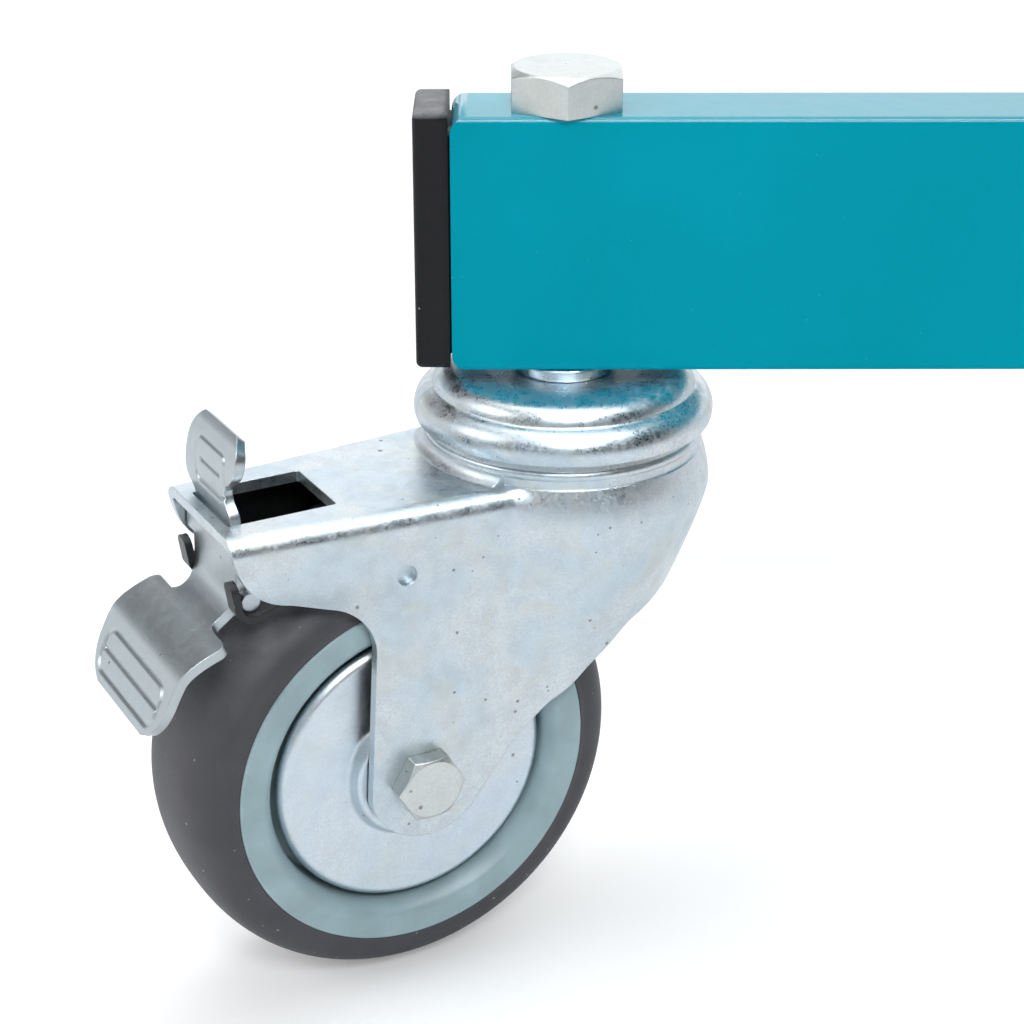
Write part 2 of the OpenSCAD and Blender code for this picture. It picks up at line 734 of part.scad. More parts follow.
module axle_bolt() {
    end = leg_half + axle_nut_h + axle_d / 5;
    color([0.78, 0.8, 0.81]) at_axle() {
        translate([0, 0, leg_half + snug]) hex_head(axle_flats, axle_head_h);
        translate([0, 0, -end]) cylinder(d = axle_d, h = end + leg_half + snug, $fn = fine);
    }
}

module axle_nut() {
    color([0.75, 0.76, 0.77]) at_axle() translate([0, 0, -leg_half - snug]) mirror([0, 0, 1])
        difference() {
            hex_head(axle_flats, axle_nut_h);
            translate([0, 0, -over])
                cylinder(r = axle_d / 2 + snug, h = axle_nut_h + 2 * over, $fn = fine);
        }
}

module axle_tube() {
    color([0.72, 0.73, 0.74]) at_axle() difference() {
        cylinder(r = axle_tube_r, h = 2 * tube_half, center = true, $fn = fine);
        cylinder(r = axle_hole_r, h = 2 * tube_half + 2 * over, center = true, $fn = fine);
    }
}

// Dished disc with a raised middle that stands against the fork's leg
module thread_guard() {
    bend = guard_step;
    rotate_extrude($fn = fine)
        polygon([[axle_tube_r + snug, tube_half - guard_t], [axle_tube_r + snug, tube_half],
                 [guard_boss_r, tube_half], [guard_boss_r + bend, guard_face],
                 [guard_r - bend, guard_face], [guard_r, guard_face - bend],
                 [guard_r, guard_face - bend - guard_t],
                 [guard_r - bend - guard_t / 2, guard_face - guard_t],
                 [guard_boss_r + bend - guard_t / 2, guard_face - guard_t],
                 [guard_boss_r - guard_t / 2, tube_half - guard_t]]);
}

module front_thread_guard() {
    color([0.74, 0.78, 0.82]) at_axle() thread_guard();
}

module rear_thread_guard() {
    color([0.74, 0.78, 0.82]) at_axle() mirror([0, 0, 1]) thread_guard();
}

module ring(r_in, r_out, w) {
    difference() {
        cylinder(r = r_out, h = w, center = true, $fn = fine);
        cylinder(r = r_in, h = w + 2 * over, center = true, $fn = fine);
    }
}

module bearing_inner_rings() {
    color([0.6, 0.61, 0.63]) at_axle() for (s = [-1, 1]) translate([0, 0, s * bearing_y]) difference() {
        ring(axle_tube_r + snug, axle_tube_r + bearing_wall, bearing_w);
        torus(bearing_track_r, bearing_ball_r + roll);
    }
}

module bearing_outer_rings() {
    color([0.6, 0.61, 0.63]) at_axle() for (s = [-1, 1]) translate([0, 0, s * bearing_y]) difference() {
        ring(bearing_r - bearing_wall, bearing_r, bearing_w);
        torus(bearing_track_r, bearing_ball_r + roll);
    }
}

module bearing_balls() {
    color([0.6, 0.61, 0.63]) at_axle() for (s = [-1, 1]) translate([0, 0, s * bearing_y])
        ball_ring(bearing_track_r, bearing_ball_r, bearing_balls_n);
}

// Half of the rim's section, outside to inside, from the middle plane outwards
function rim_half_section() =
    [[rim_r - bead_step, 0], [rim_r - bead_step, bead_half], [rim_r, bead_half],
     [rim_r, rim_half - bead_step / 4], [rim_r - bead_step / 4, rim_half],
     [rim_face_r, rim_half], [rim_inner_r, rim_half - bevel_depth],
     [rim_inner_r, web_t], [hub_r, web_t * web_share],
     [hub_r, hub_half], [bearing_r + snug, hub_half],
     [bearing_r + snug, bearing_y - bearing_w / 2 - snug],
     [bearing_r - bearing_wall, bearing_y - bearing_w / 2 - snug],
     [bearing_r - bearing_wall, 0]];

module wheel_rim() {
    half = rim_half_section();
    other = [for (i = [len(half) - 1 : -1 : 0]) [half[i][0], -half[i][1]]];
    color([0.56, 0.66, 0.69]) at_axle() rotate_extrude($fn = fine)
        polygon([for (p = concat(half, other)) p]);
}

// Crowned tread: a superellipse from shoulder to shoulder
module tyre() {
    top = [for (i = [-crown_steps : crown_steps])
        let (s = sin(90 * i / crown_steps))
        [wheel_r - crown_drop * (1 - pow(1 - pow(abs(s), crown_power), 1 / crown_power)),
         s * tread_half]];
    foot = [[rim_r + snug, rim_half - bead_step / 4], [rim_r + snug, bead_half - snug],
            [rim_r - bead_step + snug, bead_half - snug],
            [rim_r - bead_step + snug, snug - bead_half],
            [rim_r + snug, snug - bead_half], [rim_r + snug, bead_step / 4 - rim_half]];
    color([0.27, 0.26, 0.28]) at_axle() rotate_extrude($fn = fine) polygon(concat(top, foot));
}

function unit(v) = v / norm(v);
function turn_left(v) = [-v[1], v[0]];
function reversed(v) = [for (i = [len(v) - 1 : -1 : 0]) v[i]];

// A line moved sideways by d, mitred at its corners
function shift_line(line, d) =
    [for (i = [0 : len(line) - 1])
        let (a = unit(line[max(i, 1)] - line[max(i, 1) - 1]),
             b = unit(line[min(i + 1, len(line) - 1)] - line[min(i, len(line) - 2)]),
             m = unit(turn_left(a) + turn_left(b)))
        line[i] + m * d / max(m * turn_left(a), 0.5)];

// Side view of a bent sheet that reaches from d0 to d1 beside a line
module sheet_side(line, d0, d1) {
    polygon(concat(shift_line(line, d1), reversed(shift_line(line, d0))));
}

// What is cut from a hook's upright tip to make it round
module hook_tip_cut() {
    translate([hook_x, 0, -hook_tip_z - hook_strip_w / 2]) rotate([0, 90, 0])
        linear_extrude(2 * hook_r) difference() {
            translate([-hook_strip_w, -hook_strip_w])
                square([hook_strip_w, 2 * hook_strip_w]);
            circle(hook_strip_w / 2, $fn = fine);
        }
}

module brake_plate() {
    half_t = plate_t / 2;
    ear_y = panel_half(dimple_x, dimple_z) - fork_t - ear_t / 2 - free;
    bar_end = [bar_x + bar_len, -bar_z - bar_len * bar_fall_share];
    hook_line = concat([[bar_x, -bar_z], bar_end, [strip_x, -strip_z]],
                       arc(hook_x, -hook_z, hook_r, 240, 360, 12),
                       [[hook_x + hook_r + plate_t / 2, -hook_tip_z]]);
    leaf_line = [[plate_tip_x, -plate_flat_z - half_t], [dimple_x, -plate_flat_z - half_t],
                 [bar_x, -bar_z], bar_end];
    color([0.1, 0.1, 0.1]) in_fork() difference() {
        union() {
            across(plate_half) sheet_side(leaf_line, -half_t, half_t);
            // Bar across the leaf's end and the strips that run out to the hooks
            across(hook_half_out - free) sheet_side([[bar_x, -bar_z], bar_end], -half_t, half_t);
            for (y = [-1, 1]) translate([0, y * (hook_half_in + hook_strip_w / 2), 0])
                difference() {
                    across(hook_strip_w / 2) sheet_side(hook_line, -half_t, half_t);
                    hook_tip_cut();
                }
            // Rib that presses on the tread
            across(plate_half) polygon([[shoe_x, -shoe_z], [shoe_x + shoe_len, -bar_z - half_t],
                                        [shoe_x, -bar_z], [shoe_x - shoe_len, -bar_z]]);
            // Tooth that stands under the lock ring
            translate([plate_tip_x, -tooth_w / 2, -plate_flat_z - half_t])
                cube([tooth_len, tooth_w, plate_flat_z - tooth_top + half_t]);
            // Cross bar and the ears on the fork's dimples
            translate([dimple_x - ear_r, -ear_y - ear_t / 2, -plate_flat_z - plate_t])
                cube([2 * ear_r, 2 * ear_y + ear_t, plate_t]);
            for (y = [-1, 1]) translate([dimple_x, y * ear_y, -dimple_z]) rotate([90, 0, 0]) {
                cylinder(r = ear_r, h = ear_t, center = true, $fn = fine);
                translate([-ear_r, 0, -ear_t / 2])
                    cube([2 * ear_r, dimple_z - plate_flat_z - half_t, ear_t]);
            }
        }
        for (y = [-1, 1]) translate([dimple_x, y * ear_y, -dimple_z]) rotate([90, 0, 0])
            cylinder(r = ear_hole_r, h = 2 * ear_t, center = true, $fn = fine);
    }
}

// Outer face of the pedal seen from the side, from the tab's top to the foot pad's edge
function pedal_line() =
    let (height = arm_top + tab_top, end_x = knee_x + pad_len * cos(pad_slope),
         end_z = -knee_z - pad_len * sin(pad_slope))
    concat([for (p = tab_curl_shares) [face_x - p[0] * tab_curl, -arm_top + p[1] * height]],
           [[face_x - pedal_t / 8, -arm_top], [face_x, -mouth_top], [face_x, -crease_z + pedal_t / 2],
            [face_x + pedal_t / 2, -crease_z - pedal_t / 2],
            [face_x + 2 * pedal_t, -(crease_z + 2 * saddle_z) / 3],
            [saddle_x, -saddle_z], [(saddle_x + knee_x) / 2 + pedal_t / 2, -(saddle_z + knee_z) / 2 + pedal_t / 8],
            [knee_x, -knee_z], [end_x, end_z]]);

// The pedal's upright part seen from the front: tab, foot in the window, mouth, neck
module upright_front() {
    height = arm_top + tab_top;
    polygon(concat([for (p = tab_edge_shares) [p[0] * tab_half, -arm_top + p[1] * height]],
                   [[foot_half, -arm_top - fork_t], [foot_half, -mouth_top], [mouth_half, -mouth_top],
                    [mouth_half, -mouth_foot], [hook_half_in - free, -mouth_foot],
                    [hook_half_in - free, -hook_z], [neck_half, -saddle_z],
                    [-neck_half, -saddle_z], [free - hook_half_in, -hook_z],
                    [free - hook_half_in, -mouth_foot], [-mouth_half, -mouth_foot],
                    [-mouth_half, -mouth_top], [-foot_half, -mouth_top],
                    [-foot_half, -arm_top - fork_t]]));
}

// The pedal seen from above, beyond its crease: neck, shoulders and foot pad
module saddle_top() {
    end_x = knee_x + pad_len;
    square_x = shoulder_x + shoulder_r;
    translate([face_x - pedal_t, -neck_half])
        square([shoulder_x + 2 * pedal_t - face_x, 2 * neck_half]);
    translate([square_x, -pad_half]) square([end_x - square_x, 2 * pad_half]);
    translate([shoulder_x, shoulder_r - pad_half]) square([shoulder_r, 2 * (pad_half - shoulder_r)]);
    for (y = [-1, 1]) {
        translate([square_x, y * (pad_half - shoulder_r)]) circle(shoulder_r, $fn = fine);
        // Fillets where the neck runs into the shoulders
        difference() {
            translate([shoulder_x - shoulder_r, y * (neck_half + shoulder_r / 2) - shoulder_r / 2])
                square([shoulder_r + pedal_t / 2, shoulder_r]);
            translate([shoulder_x - shoulder_r, y * (neck_half + shoulder_r)])
                circle(shoulder_r, $fn = fine);
        }
    }
}

// The foot pad seen from the front, its lower corners round
module pad_front() {
    low = -knee_z - pad_len * sin(pad_slope);
    foot_half = pad_half - pad_round;
    translate([-pad_half, low + pad_round]) square([2 * pad_half, -low - pad_round]);
    translate([-foot_half, low]) square([2 * foot_half, 2 * pad_round]);
    for (y = [-1, 1]) translate([y * foot_half, low + pad_round]) circle(pad_round, $fn = fine);
}

module brake_pedal() {
    reach = knee_x + pad_len;
    color([0.74, 0.75, 0.76]) in_fork() {
        intersection() {
            across(2 * pad_half) sheet_side(pedal_line(), -pedal_t, 0);
            rotate([90, 0, 90]) linear_extrude(face_x + pedal_t / 2) upright_front();
        }
        intersection() {
            across(2 * pad_half) sheet_side(pedal_line(), -pedal_t, 0);
            translate([0, 0, -2 * axle_drop]) linear_extrude(2 * axle_drop - crease_z + pedal_t / 2)
                saddle_top();
            rotate([90, 0, 90]) linear_extrude(reach) pad_front();
        }
        // Lugs that lie in the brake plate's hooks
        translate([hook_x, 0, -hook_z]) rotate([90, 0, 0])
            cylinder(r = lug_r, h = 2 * (hook_half_out - free - lug_inset), center = true, $fn = fine);
    }
}

foot_rail();
rail_end_cap();
castor_bolt();
bolt_washer();
castor_nut();
kingpin();
upper_race_cap();
lower_race_cup();
swivel_lock_ring();
upper_balls();
lower_balls();
swivel_fork();
axle_bolt();
axle_nut();
axle_tube();
front_thread_guard();
rear_thread_guard();
bearing_inner_rings();
bearing_balls();
bearing_outer_rings();
wheel_rim();
tyre();
brake_plate();
brake_pedal();
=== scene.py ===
import json
import math

import bmesh
import bpy
import numpy as np
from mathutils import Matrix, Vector


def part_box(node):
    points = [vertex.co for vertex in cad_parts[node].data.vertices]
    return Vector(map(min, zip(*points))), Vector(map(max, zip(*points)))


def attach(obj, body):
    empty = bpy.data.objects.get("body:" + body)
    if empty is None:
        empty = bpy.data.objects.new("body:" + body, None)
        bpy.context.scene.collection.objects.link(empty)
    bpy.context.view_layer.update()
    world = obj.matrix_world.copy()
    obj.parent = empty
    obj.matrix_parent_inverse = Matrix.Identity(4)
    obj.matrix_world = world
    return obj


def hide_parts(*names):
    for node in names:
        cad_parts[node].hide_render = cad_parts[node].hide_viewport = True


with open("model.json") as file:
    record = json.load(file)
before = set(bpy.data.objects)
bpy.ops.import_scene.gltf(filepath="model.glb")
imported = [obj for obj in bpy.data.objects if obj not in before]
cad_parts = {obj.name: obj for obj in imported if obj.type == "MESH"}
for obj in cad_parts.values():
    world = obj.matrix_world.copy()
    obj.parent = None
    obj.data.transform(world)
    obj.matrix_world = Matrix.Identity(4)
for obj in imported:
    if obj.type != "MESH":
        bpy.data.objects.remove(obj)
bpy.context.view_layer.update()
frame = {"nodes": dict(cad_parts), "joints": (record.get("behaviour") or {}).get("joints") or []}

bl_info = {
    "name": "Braked Castor on a Foot Rail",
    "version": (1, 0, 0),
    "blender": (4, 5, 0),
    "location": "View3D > Sidebar > Castor",
    "description": "Dresses a braked swivel castor and the painted foot rail that it is bolted to",
    "category": "Add Mesh",
}

MM = 0.001
# Steps round the pressed rings, the wheel and the bolts
RING_STEPS = 256
WHEEL_STEPS = 320
BOLT_STEPS = 192
# Air between turned pieces, in millimetres
PLAY = 0.05
# Radius of the fillet between the arm and the crown, and the height of the pedal's lugs
NECK_FILLET = 2.4
LUG_Z = -25.7
JOINTS = {j["name"]: j for j in frame["joints"]}
RAIL_LOW, RAIL_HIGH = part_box("foot_rail")
SWIVEL = Vector(JOINTS["swivel"]["pos_m"])
AXLE = Vector(JOINTS["wheel_spin"]["pos_m"])
# The axle's direction, towards the bolt's head, and the fork's, from the swivel to the wheel
ACROSS = Vector(JOINTS["wheel_spin"]["axis"]).normalized()
OUTWARD = Vector((ACROSS.y, -ACROSS.x, 0.0))
# Heights and offsets of the wheel in millimetres, seen from the swivel axis under the rail
AXLE_DROP = (RAIL_LOW.z - AXLE.z) / MM
AXLE_OFFSET = (AXLE - SWIVEL).dot(OUTWARD) / MM
WHEEL_RADIUS = (AXLE.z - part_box("tyre")[0].z) / MM
FLOOR_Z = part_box("tyre")[0].z


def tone(red, green, blue):
    """A colour written as a screen shows it, 0 to 255, in the linear values that nodes take."""
    raw = np.array([red, green, blue]) / 255.0
    return tuple(np.where(raw <= 0.04045, raw / 12.92, ((raw + 0.055) / 1.055) ** 2.4))


def length(name, text, default):
    """A length property whose default is given in millimetres."""
    return bpy.props.FloatProperty(name=name, description=text, default=default * MM, min=0.0,
                                   precision=5, unit="LENGTH", subtype="DISTANCE")


def colour(name, text, red, green, blue):
    """A colour property whose default is given as the screen shows it."""
    return bpy.props.FloatVectorProperty(name=name, description=text, size=3, min=0.0, max=1.0,
                                         subtype="COLOR", default=tone(red, green, blue))


class CastorSizes(bpy.types.PropertyGroup):
    """Sizes of the pieces that are drawn afresh over the frame"""

    fork_sheet: length("Fork sheet", "Thickness of the fork's sheet", 1.8)
    arm_top: length("Arm depth", "Depth of the arm's top plate below the rail", 14.0)
    arm_end: length("Arm reach", "Distance from the swivel axis to the arm's end", 62.5)
    arm_end_half: length("Arm half width", "Half width of the arm at its end", 13.1)
    leg_half: length("Leg half width", "Half width of the fork over its legs", 15.7)
    bend: length("Arm bend", "Outer radius of the bend along the arm", 3.0)
    crown: length("Crown radius", "Radius of the fork's crown under the race cap", 22.3)
    leg_end: length("Leg end radius", "Radius of the legs' rounded ends", 10.1)
    window_start: length("Window start", "Distance from the swivel axis to the arm's window", 43.1)
    window_length: length("Window length", "Length of the arm's window", 17.6)
    window_half: length("Window half width", "Half width of the arm's window", 7.2)
    dimple: length("Dimple radius", "Radius of the pressed dimples in the legs", 1.6)
    rim_half: length("Rim half width", "Half width of the wheel across its rim", 13.1)
    tread_half: length("Tread half width", "Half width of the tread at its shoulders", 12.4)
    tread_drop: length("Tread drop", "Drop of the tread's shoulders below its crown", 6.5)
    rim: length("Rim radius", "Radius where the tread meets the rim", 30.0)
    rim_face: length("Rim face radius", "Inner radius of the rim's flat face", 25.6)
    rim_inner: length("Rim inner radius", "Inner radius at the foot of the rim's bevel", 24.0)
    guard: length("Guard radius", "Radius of the thread guards", 23.0)
    guard_boss: length("Guard boss radius", "Radius of a guard's raised middle", 10.4)
    pedal_sheet: length("Pedal sheet", "Thickness of the pedal's sheet", 1.6)
    pad_half: length("Pad half width", "Half width of the pedal's foot pad", 14.2)
    pad_length: length("Pad length", "Length of the foot pad down its slope", 9.5)
    tab_half: length("Tab half width", "Half width of the release tab", 10.0)
    race_cap: length("Race cap radius", "Largest radius of the upper race cap", 23.8)
    crease: length("Crease radius", "Radius of the crease round the race cap", 20.9)
    groove: length("Groove depth", "Depth of the pressed lines on the pad and the tab", 0.4)
    axle_flats: length("Axle flats", "Width across the flats of the axle's head and nut", 10.0)
    axle_head: length("Axle head", "Height of the axle bolt's head", 3.2)
    axle_nut: length("Axle nut", "Height of the axle's nut", 5.0)
    axle: length("Axle radius", "Radius of the axle bolt", 3.0)
    bolt: length("Bolt radius", "Radius of the castor bolt", 5.0)


class CastorColours(bpy.types.PropertyGroup):
    """Colours of the finishes"""

    paint: colour("Paint", "Gloss paint of the foot rail", 0, 160, 183)
    plastic: colour("End cap", "Moulded plastic of the end cap", 30, 30, 33)
    bolt: colour("Bolt zinc", "Zinc plate of the bolts and nuts", 212, 217, 216)
    plate: colour("Fork zinc", "Zinc plate of the fork and the races", 213, 221, 226)
    guard: colour("Guard zinc", "Zinc plate of the thread guards", 218, 227, 234)
    pedal: colour("Pedal zinc", "Zinc plate of the brake pedal", 190, 199, 203)
    ball: colour("Ball steel", "Bare steel of the balls and bearings", 200, 200, 204)
    rim: colour("Rim", "Grey plastic of the wheel's rim", 161, 186, 193)
    tread: colour("Tread", "Dark rubber of the tread", 70, 70, 75)
    black: colour("Black steel", "Black plate of the brake's hidden parts", 22, 23, 26)
    ground: colour("Floor", "Pale floor", 246, 246, 247)


def sizes():
    """The sizes in millimetres, by name."""
    group = bpy.context.scene.castor_sizes
    names = CastorSizes.__annotations__
    return {name: getattr(group, name) / MM for name in names}


# Meshes

def under_swivel(points):
    """Points about the swivel axis, in millimetres under the rail, put into the frame in metres."""
    return points * MM + np.array([SWIVEL.x, SWIVEL.y, RAIL_LOW.z])


def in_fork(points):
    """Points drawn in the fork's own directions, outward, across and up, put into the frame."""
    turn = np.array([OUTWARD, ACROSS, Vector((0.0, 0.0, 1.0))])
    return under_swivel(points @ turn)


def on_axle(points):
    """Points drawn about Z, put round the axle with Z towards the bolt's head."""
    placed = np.stack([points[:, 0] + AXLE_OFFSET, points[:, 2], -points[:, 1] - AXLE_DROP], axis=1)
    return in_fork(placed)


def arc(cx, cy, radius, start, end, steps):
    """Points on a circle from one angle to another in degrees: centre plus radius times cos, sin."""
    angle = np.radians(np.linspace(start, end, steps + 1))
    return np.stack([cx + radius * np.cos(angle), cy + radius * np.sin(angle)], axis=1)


def soften(profile, radius, steps=6):
    """Closed outline with each corner swept round: a quadratic curve between two points that
    lie at the radius from the corner along its two edges, or half way where an edge is short."""
    points = np.asarray(profile, float)
    back = np.roll(points, 1, axis=0) - points
    ahead = np.roll(points, -1, axis=0) - points
    back_len = np.linalg.norm(back, axis=1, keepdims=True)
    ahead_len = np.linalg.norm(ahead, axis=1, keepdims=True)
    reach = np.minimum(radius, 0.49 * np.minimum(back_len, ahead_len))
    first = points + back / back_len * reach
    last = points + ahead / ahead_len * reach
    t = np.linspace(0, 1, steps + 1)[None, :, None]
    curve = (1 - t) ** 2 * first[:, None] + 2 * t * (1 - t) * points[:, None] + t ** 2 * last[:, None]
    return curve.reshape(-1, 2)


def corner_cut(line, rounds=3):
    """Open line made smooth by cutting its corners: each edge keeps its points at 1/4 and 3/4."""
    line = np.asarray(line, float)
    for _ in range(rounds):
        inner = np.stack([0.75 * line[:-1] + 0.25 * line[1:], 0.25 * line[:-1] + 0.75 * line[1:]], axis=1)
        line = np.concatenate([line[:1], inner.reshape(-1, line.shape[1])[1:-1], line[-1:]])
    return line


def along(line, count):
    """Open line sampled again at equal steps of its length."""
    step = np.linalg.norm(np.diff(line, axis=0), axis=1)
    run = np.concatenate([[0], np.cumsum(step)])
    at = np.linspace(0, run[-1], count)
    return np.stack([np.interp(at, run, line[:, i]) for i in range(line.shape[1])], axis=1)


def through(points, count):
    """Open smooth curve through points: cubic pieces whose slopes come from the neighbours."""
    p = np.asarray(points, float)
    ends = np.concatenate([2 * p[:1] - p[1:2], p, 2 * p[-1:] - p[-2:-1]])
    t = np.linspace(0, 1, count, endpoint=False)[None, :, None]
    a, b, c, d = (ends[i:len(ends) - 3 + i, None] for i in range(4))
    curve = 0.5 * (2 * b + (c - a) * t + (2 * a - 5 * b + 4 * c - d) * t ** 2
                   + (3 * b - a - 3 * c + d) * t ** 3)
    return np.concatenate([curve.reshape(-1, p.shape[1]), p[-1:]])


def quads(rows, cols, wrap_rows, wrap_cols):
    """Faces of a grid of points, row by row, joined end to end where it wraps."""
    r = np.arange(rows if wrap_rows else rows - 1)[:, None]
    c = np.arange(cols if wrap_cols else cols - 1)[None, :]
    r2 = (r + 1) % rows
    c2 = (c + 1) % cols
    return np.stack([r * cols + c, r2 * cols + c, r2 * cols + c2, r * cols + c2],
                    axis=-1).reshape(-1, 4)


def outward(points, faces):
    """Faces turned so that the closed mesh has a positive volume."""
    tri = points[faces[:, :3]]
    volume = np.einsum("ij,ij->i", np.cross(tri[:, 0], tri[:, 1]), tri[:, 2]).sum()
    if faces.shape[1] == 4:
        tri = points[faces[:, [0, 2, 3]]]
        volume += np.einsum("ij,ij->i", np.cross(tri[:, 0], tri[:, 1]), tri[:, 2]).sum()
    return faces if volume > 0 else faces[:, ::-1]


def ringed(rings, steps):
    """Points of rings round Z, x = r cos a, y = r sin a; a radius or height may vary with a."""
    angle = 2 * np.pi * np.arange(steps) / steps
    return np.concatenate([np.stack([r * np.cos(angle), r * np.sin(angle), z + 0 * angle], axis=1)
                           for r, z in rings])


def revolve(rings, steps=RING_STEPS):
    """A closed section, radius and height, carried round Z."""
    points = ringed(rings, steps)
    return points, outward(points, quads(len(rings), steps, True, True))


def dome(rings, steps=RING_STEPS):
    """A section whose first and last points lie on the axis, carried round Z, with closed poles."""
    grid = ringed(rings[1:-1], steps)
    points = np.concatenate([grid, [[0, 0, rings[0][1]], [0, 0, rings[-1][1]]]])
    around = np.arange(steps)
    following = (around + 1) % steps
    base = len(grid) - steps
    first, last = np.full(steps, len(grid)), np.full(steps, len(grid) + 1)
    faces = [*quads(len(rings) - 2, steps, False, True).tolist(),
             *np.stack([first, around, following], axis=1).tolist(),
             *np.stack([last, base + following, base + around], axis=1).tolist()]
    if rings[0][1] < rings[-1][1]:
        faces = [face[::-1] for face in faces]
    return points, faces


def hex_rings(flats, low, high, turn=0.0):
    """Foot, side and top circle of a bolt's head: half the flats over the cosine of the angle from
    the nearest flat, cut by a cone of 30 degrees that leaves a circle just inside the flats."""
    angle = 2 * np.pi * np.arange(BOLT_STEPS) / BOLT_STEPS + math.radians(turn)
    corner = flats / 2 / np.cos((angle + np.pi / 6) % (np.pi / 3) - np.pi / 6)
    circle = 0.95 * flats / 2
    side = high - (high - low) / abs(high - low) * (corner - circle) * math.tan(math.radians(30))
    return [(corner, low), (corner, side), (circle, high), (circle - 0.2, high)]


def prism(outline, low, high):
    """A flat outline in X and Z carried along Y from one plane to another, closed at its ends."""
    count = len(outline)
    flat = np.concatenate([np.insert(outline, 1, low, axis=1), np.insert(outline, 1, high, axis=1)])
    wall = quads(2, count, False, True)
    ends = [list(range(count)), list(range(2 * count - 1, count - 1, -1))]
    x, z = outline[:, 0], outline[:, 1]
    area = np.sum(x * np.roll(z, -1) - np.roll(x, -1) * z)
    if area > 0:
        return flat, [*wall.tolist(), *ends]
    return flat, [*wall[:, ::-1].tolist(), *[end[::-1] for end in ends]]


def new_mesh(name, points, faces):
    """A mesh from arrays of points and faces."""
    mesh = bpy.data.meshes.new(name)
    mesh.from_pydata(np.asarray(points, float).tolist(), [],
                     faces if isinstance(faces, list) else faces.tolist())
    mesh.validate(clean_customdata=False)
    return mesh


def new_object(name, mesh):
    """An object with a mesh, put into the scene at the origin."""
    obj = bpy.data.objects.new(name, mesh)
    bpy.context.scene.collection.objects.link(obj)
    return obj


def tool(name, made, place=in_fork):
    """A piece or a cutter from its points and faces, put into the frame."""
    points, faces = made
    return new_object(name, new_mesh(name, place(points), faces))


def finish_of(name):
    """A finish built before."""
    return bpy.data.materials[name + "_finish"]


def dress(obj, node, body, slot, finish=None, angle=24.0, weighted=True):
    """Gives a finished piece its shading and its finish, which is its slot's unless named,
    sets it to ride its body, and hides the CAD node that it stands for."""
    obj.data.shade_smooth()
    obj.data.set_sharp_from_angle(angle=math.radians(angle))
    obj.data.materials.clear()
    obj.data.materials.append(finish_of(finish or slot))
    if weighted:
        even = obj.modifiers.new("even_shading", "WEIGHTED_NORMAL")
        even.keep_sharp = True
        even.weight = 100
    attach(obj, body)
    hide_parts(node)


def carry(node, body, slot, angle=24.0, weighted=True):
    """Shows a CAD node's own shape: a copy with its loose triangles joined at their corners."""
    work = bmesh.new()
    work.from_mesh(frame["nodes"][node].data)
    bmesh.ops.remove_doubles(work, verts=work.verts, dist=2e-6)
    bmesh.ops.dissolve_degenerate(work, edges=work.edges, dist=1e-7)
    mesh = bpy.data.meshes.new(node + "_shown")
    work.to_mesh(mesh)
    work.free()
    dress(new_object(node + "_shown", mesh), node, body, slot, angle=angle, weighted=weighted)


def combine(base, others):
    """Applies Boolean steps, each an operation and a tool object, and drops the tools."""
    for operation, other in others:
        step = base.modifiers.new("step", "BOOLEAN")
        step.operation = operation
        step.solver = "MANIFOLD"
        step.object = other
    bpy.context.view_layer.update()
    evaluated = base.evaluated_get(bpy.context.evaluated_depsgraph_get())
    result = bpy.data.meshes.new_from_object(evaluated)
    base.modifiers.clear()
    base.data = result
    for _, other in others:
        bpy.data.objects.remove(other)


def smooth_clamp(value):
    """Eases from 0 to 1: 3c2 - 2c3 of the value held between 0 and 1."""
    c = np.clip(value, 0, 1)
    return c * c * (3 - 2 * c)


def blend_max(a, b, k):
    """The larger of two widths, with a fillet of size k where they are alike."""
    return np.maximum(a, b) + np.maximum(k - np.abs(a - b), 0) ** 2 / (4 * k)


def quarter(radius, place):
    """Quarter circle: sqrt(radius ** 2 - place ** 2), with the place held from 0 to the radius."""
    return np.sqrt(np.maximum(radius ** 2 - np.clip(place, 0, radius) ** 2, 0))


def arm_width(s, x):
    """Half width of the arm's outside: it widens slightly towards the swivel."""
    return s["arm_end_half"] + 0.074 * (s["arm_end"] - x)


def panel_width(s, x, depth):
    """Half width of the flat side: the arm's width above, eased to the legs' width below it."""
    start, reach = s["arm_top"] + 8, 12
    share = smooth_clamp((depth - start) / reach)
    return s["leg_half"] + (arm_width(s, x) - s["leg_half"]) * (1 - share)


def skirt(s, depth):
    """Radius and centre of the round back at a depth: crown, neck, then a narrowing skirt."""
    swell_reach, swell_by, fall_reach, shift = 6.5, 1.2, 29.5, 5.5
    neck_depth = s["arm_top"] + swell_reach
    neck = s["crown"] + swell_by
    fall = np.clip((depth - neck_depth) / fall_reach, 0, 1) ** 1.2
    swell = np.sin(np.pi / 2 * np.clip((depth - s["arm_top"]) / swell_reach, 0, 1))
    below = neck - (neck - s["leg_half"]) * fall
    radius = np.where(depth < neck_depth, s["crown"] + swell_by * swell, below)
    return radius, shift * fall


def fork_half(s, x, depth, inset):
    """Half width of the fork: the round back and the flat sides, blended, with the bend at the top."""
    radius, centre = skirt(s, depth)
    radius = radius - inset
    rest = s["bend"] - inset
    drawn = inset + rest - quarter(rest, rest - (depth - s["arm_top"] - inset))
    # The fillet between the back and the sides grows from 2 to 5 mm down the skirt
    k = 2 + 3 * np.clip((depth - s["arm_top"]) / 36, 0, 1)
    behind = blend_max(radius, panel_width(s, centre, depth) - drawn, k)
    behind = behind * np.sqrt(np.maximum(1 - ((centre - x) / radius) ** 2, 0))
    round_part = np.sqrt(np.maximum(radius ** 2 - (x - centre) ** 2, 0))
    ahead = blend_max(round_part, panel_width(s, x, depth) - drawn, k)
    return np.where(x < centre, behind, ahead)


